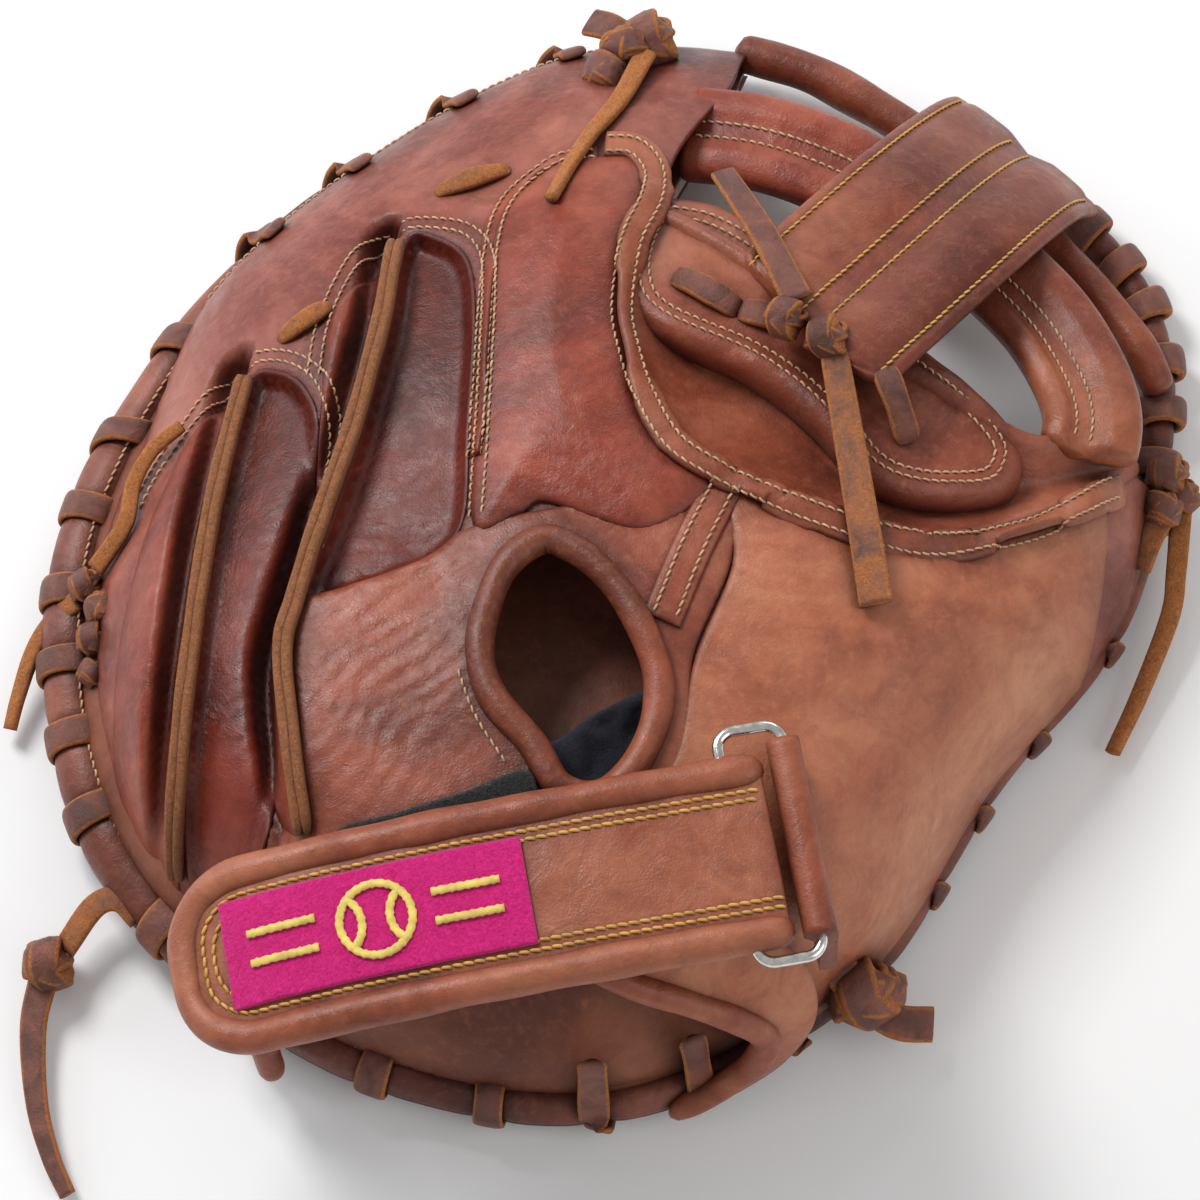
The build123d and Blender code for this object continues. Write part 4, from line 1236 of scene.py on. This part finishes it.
tied("thumb_knot", [((135.5, 25.8, 19), 5.6, 0.2), ((133.5, 16.7, 19), 5.4, 1.4),
                    ((139.4, 21.5, 16), 4.6, 0.8)], [
    (((139, 18, 15), (137.5, 3.2, 12), (135.8, -7.6, 9), (128, -26.6, 6), (120.9, -41.2, 5)),
     5.4, 40, 2.6, -0.25, 0.7),
    (((133, 14, 19), (130.5, 8, 19), (128.5, 2, 16)), 6.6, 20, 2.4, -0.3, 0.5),
], "thumb_side")
tied("heel_knot", [((58.1, -104.7, 17), 8.6, 0.6), ((63.0, -103.0, 14), 6.2, 1.6)], [
    (((60, -107, 15), (67, -110.6, 13), (75, -110.6, 11)), 8.6, 20, 2.4),
    (((55, -103.3, 22), (49.4, -96.4, 26), (44.6, -88.5, 31)), 9.0, 10, 2.4),
])
tied("pinky_knot", [((-128.0, -4.5, 23), 4.4, 0.7), ((-123.0, -11, 25), 4.8, 1.9),
                    ((-125.5, -18, 23), 4.6, 0.4), ((-125.5, -26, 21), 3.8, 1.2)], [
    (((-130, -7, 20), (-137, -11, 14), (-141.7, -17.4, 10), (-145.2, -27.9, 7), (-147.0, -35.2, 5)),
     5.2, 40, 2.4, -0.3, 0.6),
    (((-125, -2, 28), (-117.5, 6.3, 36), (-115.8, 16.7, 36), (-111.5, 24.7, 37.5), (-104.3, 29.8, 41)),
     4.6, 10, 2.4, -0.3, 0.9),
])
tied("corner_knot", [((-134.9, -95, 8.5), 6.6, 0.3, 0.0)], [
    (((-113, -85, 12), (-118, -80.5, 13), (-124, -82, 12), (-131, -92, 10)), 6.2, 20, 2.4, 0.0, 0.5),
    (((-135.5, -97, 8), (-138, -110, 6), (-136.5, -128, 5), (-132.7, -141, 4), (-128.5, -149.8, 3.5)),
     7.4, 30, 2.4, -0.45),
])


def hoop(low, high, rise, width, taper, fuzzy):
    """Short run of lace that comes out of one hole and goes into the next."""
    t = np.linspace(0, 1, 16)[:, None]
    path = low + (high - low) * t + np.array((0, 0, 1.0)) * (rise * np.sin(math.pi * t) ** 0.5 - 1.0)
    part, raw = lace_part(path, upward(16), width, 3.0, taper)
    return part, np.maximum(raw, fuzzy)


def short_laces(name, spans, rise, width, taper=0.16, fuzzy=0.0):
    """Runs of lace between pairs of holes in the leather."""
    ends = [drape(np.array(span, float), TOP_TREE)[0] for span in spans]
    laces(name, [hoop(low, high, rise, width, taper, fuzzy) for low, high in ends], "mitt", [name])


short_laces("web_lace", (((14, 62), (30, 52)), ((30, 52), (40, 49)), ((63, 33), (69.5, 18))), 3.4, 6.4)
short_laces("fingertip_lace", (((-44, 90), (-25, 96)), ((-81, 50), (-68, 58))), 3.6, 4.8, 0.5, 0.55)

# ---------------------------------------------------------------- wrist strap
# the strap's directions: along it from the ring, across it, and up
ALONG = np.array((-math.cos(STRAP_TURN), -math.sin(STRAP_TURN), 0))
ACROSS = np.array((-math.sin(STRAP_TURN), math.cos(STRAP_TURN), 0))
UP = np.array((0, 0, 1.0))
STRAP_LENGTH, STRAP_WIDTH, PIPING_RADIUS = 129, 46, 4.1
STRAP_SHIFT = -1.8  # of the strap's middle across the ring
RING_PITCH = 14.7  # between the ring's two long bars


def strap_height(s):
    """Height of the strap against its hinge at a distance along it."""
    return np.interp(s, (0, 30, 65, 90, 105, 118, 130), (0, -0.4, -3, -7, -11, -16, -23))


def strap_place(swh):
    """Maps (along, across, above) of the strap to the mitt's frame."""
    s, w, h = swh[:, 0], swh[:, 1], swh[:, 2]
    slope = (strap_height(s + 1) - strap_height(s - 1)) / 2
    along = s - h * slope / np.sqrt(1 + slope**2)
    level = strap_height(s) + h / np.sqrt(1 + slope**2)
    return STRAP_HINGE + along[:, None] * ALONG + (w + STRAP_SHIFT)[:, None] * ACROSS + level[:, None] * UP


def on_strap(line, height):
    """Points of a line on the strap, lifted to heights above it."""
    return strap_place(np.column_stack([line, np.broadcast_to(height, len(line))]))


def to_strap(obj):
    """Moves a panel made in (along, across, above) onto the strap."""
    verts = np.array([v.co for v in obj.data.vertices]) / MM
    obj.data.vertices.foreach_set("co", (strap_place(verts) * MM).ravel())
    obj.data.update()
    return obj


def rounded(s0, s1, width, corner):
    """Plan outline of a strap-shaped panel, round at its far end."""
    w = width / 2
    straight = np.linspace(s0, s1 - corner, 14)
    points = [(s, -w) for s in straight[:-1]]
    for side_sign, turns in ((-1, np.linspace(-90, 0, 7)), (1, np.linspace(0, 90, 7))):
        points += [(s1 - corner + corner * math.cos(a), side_sign * (w - corner) + corner * math.sin(a))
                   for a in np.radians(turns)]
    return points + [(s, w) for s in straight[-2::-1]]


def polygon(points, step=1.5):
    """Straight-sided outline as close-set points, which a curve through them keeps straight."""
    out = []
    for a, b in zip(points, points[1:] + points[:1]):
        n = max(1, int(math.dist(a, b) / step))
        out += [(a[0] + (b[0] - a[0]) * i / n, a[1] + (b[1] - a[1]) * i / n) for i in range(n)]
    return out


def strap_puff(sw):
    """Height of the strap's padded top above its middle surface."""
    edge = np.minimum(STRAP_WIDTH / 2 - 4 - np.abs(sw[:, 1]), STRAP_LENGTH - 4 - sw[:, 0])
    return 2.0 + 0.9 * (1 - np.exp(-np.maximum(edge, 0) / 5)) + 0.12 * noise2(sw, 17, 4)


strap_outline = polygon(rounded(-8.5, STRAP_LENGTH - 3, STRAP_WIDTH - 6, 13))
own(to_strap(panel("wrist_strap", strap_outline, TRIM, strap_puff, step=1.6, roll=0.8, drop=5.0)),
    "strap", ["wrist_strap"])

edge_line = curve(rounded(-9.2, STRAP_LENGTH - PIPING_RADIUS, STRAP_WIDTH - 2 * PIPING_RADIUS, 15), 1.3)
own(rolled("strap_binding", on_strap(edge_line, 0.6), TRIM, PIPING_RADIUS, taper=0.02), "strap",
    ["strap_binding"])


def folded_end():
    """The strap's end, folded round the ring's bar."""
    w = np.linspace(-STRAP_WIDTH / 2 + 6, STRAP_WIDTH / 2 - 6, 30)
    path = STRAP_HINGE - 2.6 * ALONG + (w + STRAP_SHIFT)[:, None] * ACROSS - 1.4 * UP
    verts, faces = sweep_arrays(path, upward(30), oval(12, 6.4, 32, 3.0), taper=0.05)
    return build("strap_end_fold", verts, faces, TRIM)


def tab():
    """Leather wrapped round the ring's far bar, its tails running down to the thumb panel."""
    w = np.linspace(-23, 23, 30)
    wrap = [(-RING_PITCH + 3.9 * math.cos(a), 3.9 * math.sin(a)) for a in np.linspace(0, math.pi, 12)]
    reach = (STRAP_HINGE - (RING_PITCH + 5) * ALONG)[None, :2] + w[:, None] * ACROSS[None, :2]
    verts = []
    for x, foot in zip(w, np.clip(back(reach) - STRAP_HINGE[2] - 3, -30, -18)):
        tails = [(-RING_PITCH - 4.2, -8), (-RING_PITCH - 5.0, foot), (-RING_PITCH - 1.0, foot),
                 (-RING_PITCH - 0.2, -8), (-RING_PITCH + 2.0, -3.0)]
        verts += [STRAP_HINGE + s * ALONG + x * ACROSS + h * UP for s, h in wrap + tails]
    return build("ring_tab", verts, tube_faces(len(w), len(wrap) + 5), TRIM)


own(folded_end(), "strap", [])
own(tab(), "mitt", ["ring_tab"])

parts = []
for inset in (9.2, 11.3):
    line = curve(rounded(-8, STRAP_LENGTH - inset, STRAP_WIDTH - 2 * inset, 10), 1.0)
    parts += stitch_parts(on_strap(line, strap_puff(line) + 0.1), upward(len(line)), 2.5, 2.2, 0.42)
own(joined("strap_stitches", parts, GOLD), "strap", [])


def rectangle(start, end, width):
    """Outline of a rectangle along the strap's middle."""
    return polygon([(start, -width / 2), (end, -width / 2), (end, width / 2), (start, width / 2)])


PATCH_START, PATCH_END, PATCH_WIDTH = 47, 115, 25
own(to_strap(panel("strap_patch", rectangle(PATCH_START, PATCH_END, PATCH_WIDTH), FELT,
                   lambda sw: strap_puff(sw) + 1.3 + 0.1 * noise2(sw, 3, 6), step=1.2, roll=0.5, drop=1.3)),
    "strap", ["strap_patch"])


def satin(name, lines, width, material):
    """Raised satin stitch along lines on the patch, given with whether they are closed."""
    parts = []
    for line, closed in lines:
        line = curve(line, 0.7, closed)
        rib = 1 + 0.16 * np.sin(np.arange(len(line)) * 2.4)
        parts.append(sweep_arrays(on_strap(line, strap_puff(line) + 1.9), upward(len(line)),
                                  oval(width, 0.9, 10), np.column_stack([rib, rib]), closed))
    return own(joined(name, parts, material), "strap", [])


def emblem():
    """Plain decoration: a seamed ball between two pairs of stripes."""
    middle, radius = (PATCH_START + PATCH_END) / 2, 8.2
    ball = [(middle + radius * math.cos(a), radius * math.sin(a))
            for a in np.linspace(0, 2 * math.pi, 24, endpoint=False)]
    lines = [(ball, True)]
    for sign in (-1, 1):
        lines.append(([(middle + sign * (8.6 - 5.4 * math.cos(a)), 6.51 * math.sin(a))
                       for a in np.linspace(-1.15, 1.15, 9)], False))
        lines += [([(middle + sign * s, w) for s in (13, 20, 28)], False) for w in (-3.4, 3.4)]
    return lines


satin("patch_emblem", emblem(), 1.9, YELLOW)
own(to_strap(panel("hook_pad", rectangle(50, 112, 26), PILE, lambda sw: np.full(len(sw), -2.6),
                   step=2.5, roll=0.4, drop=1.4)), "strap", ["hook_pad"])

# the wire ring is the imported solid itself, only given its finish
for obj in list(bpy.data.objects):
    if obj.type == "MESH" and "strap_ring" in obj.name:
        obj.data.materials.clear()
        obj.data.materials.append(STEEL)
        obj.data.polygons.foreach_set("use_smooth", [True] * len(obj.data.polygons))

# ---------------------------------------------------------------- studio
floor = bpy.data.objects.new("floor", bpy.data.meshes.new("floor"))
floor.data.from_pydata([(-3, -3, 0), (3, -3, 0), (3, 3, 0), (-3, 3, 0)], [], [(0, 1, 2, 3)])
floor.data.materials.append(floor_material())
bpy.context.scene.collection.objects.link(floor)


def area_light(name, place, size, power, colour=(1, 1, 1)):
    """Square light aimed at the middle of the mitt."""
    light = bpy.data.lights.new(name, "AREA")
    light.size = size
    light.energy = power
    light.color = colour
    obj = bpy.data.objects.new(name, light)
    obj.location = place
    obj.rotation_euler = (Vector((0, 0, 0.03)) - Vector(place)).to_track_quat("-Z", "Y").to_euler()
    bpy.context.scene.collection.objects.link(obj)


area_light("key", (-0.55, 0.6, 0.95), 0.42, 10.5)
area_light("fill", (0.9, -0.5, 0.8), 0.9, 3.5)
area_light("rim_light", (0.3, 1.1, 0.5), 0.5, 2)
area_light("side", (-1.0, 0.5, 0.45), 0.5, 2.6, colour=(0.82, 0.88, 1.0))

world = bpy.data.worlds.new("studio")
bpy.context.scene.world = world
world.use_nodes = True
world.node_tree.nodes["Background"].inputs["Color"].default_value = (1, 1, 1, 1)
world.node_tree.nodes["Background"].inputs["Strength"].default_value = 0.42
bpy.context.scene.view_settings.view_transform = "Standard"

CAMERA_HEIGHT = math.radians(70)
LENS, SENSOR = 135, 36  # millimetres
VIEW_WIDTH = 0.285  # metres across the picture at the mitt
aim = Vector((-0.0035, -0.0144, 0.04))
reach = VIEW_WIDTH * LENS / SENSOR
camera = bpy.data.objects.new("camera", bpy.data.cameras.new("camera"))
camera.data.lens = LENS
camera.location = aim + Vector((0, -math.cos(CAMERA_HEIGHT), math.sin(CAMERA_HEIGHT))) * reach
camera.rotation_euler = (aim - camera.location).to_track_quat("-Z", "Y").to_euler()
bpy.context.scene.collection.objects.link(camera)
bpy.context.scene.camera = camera
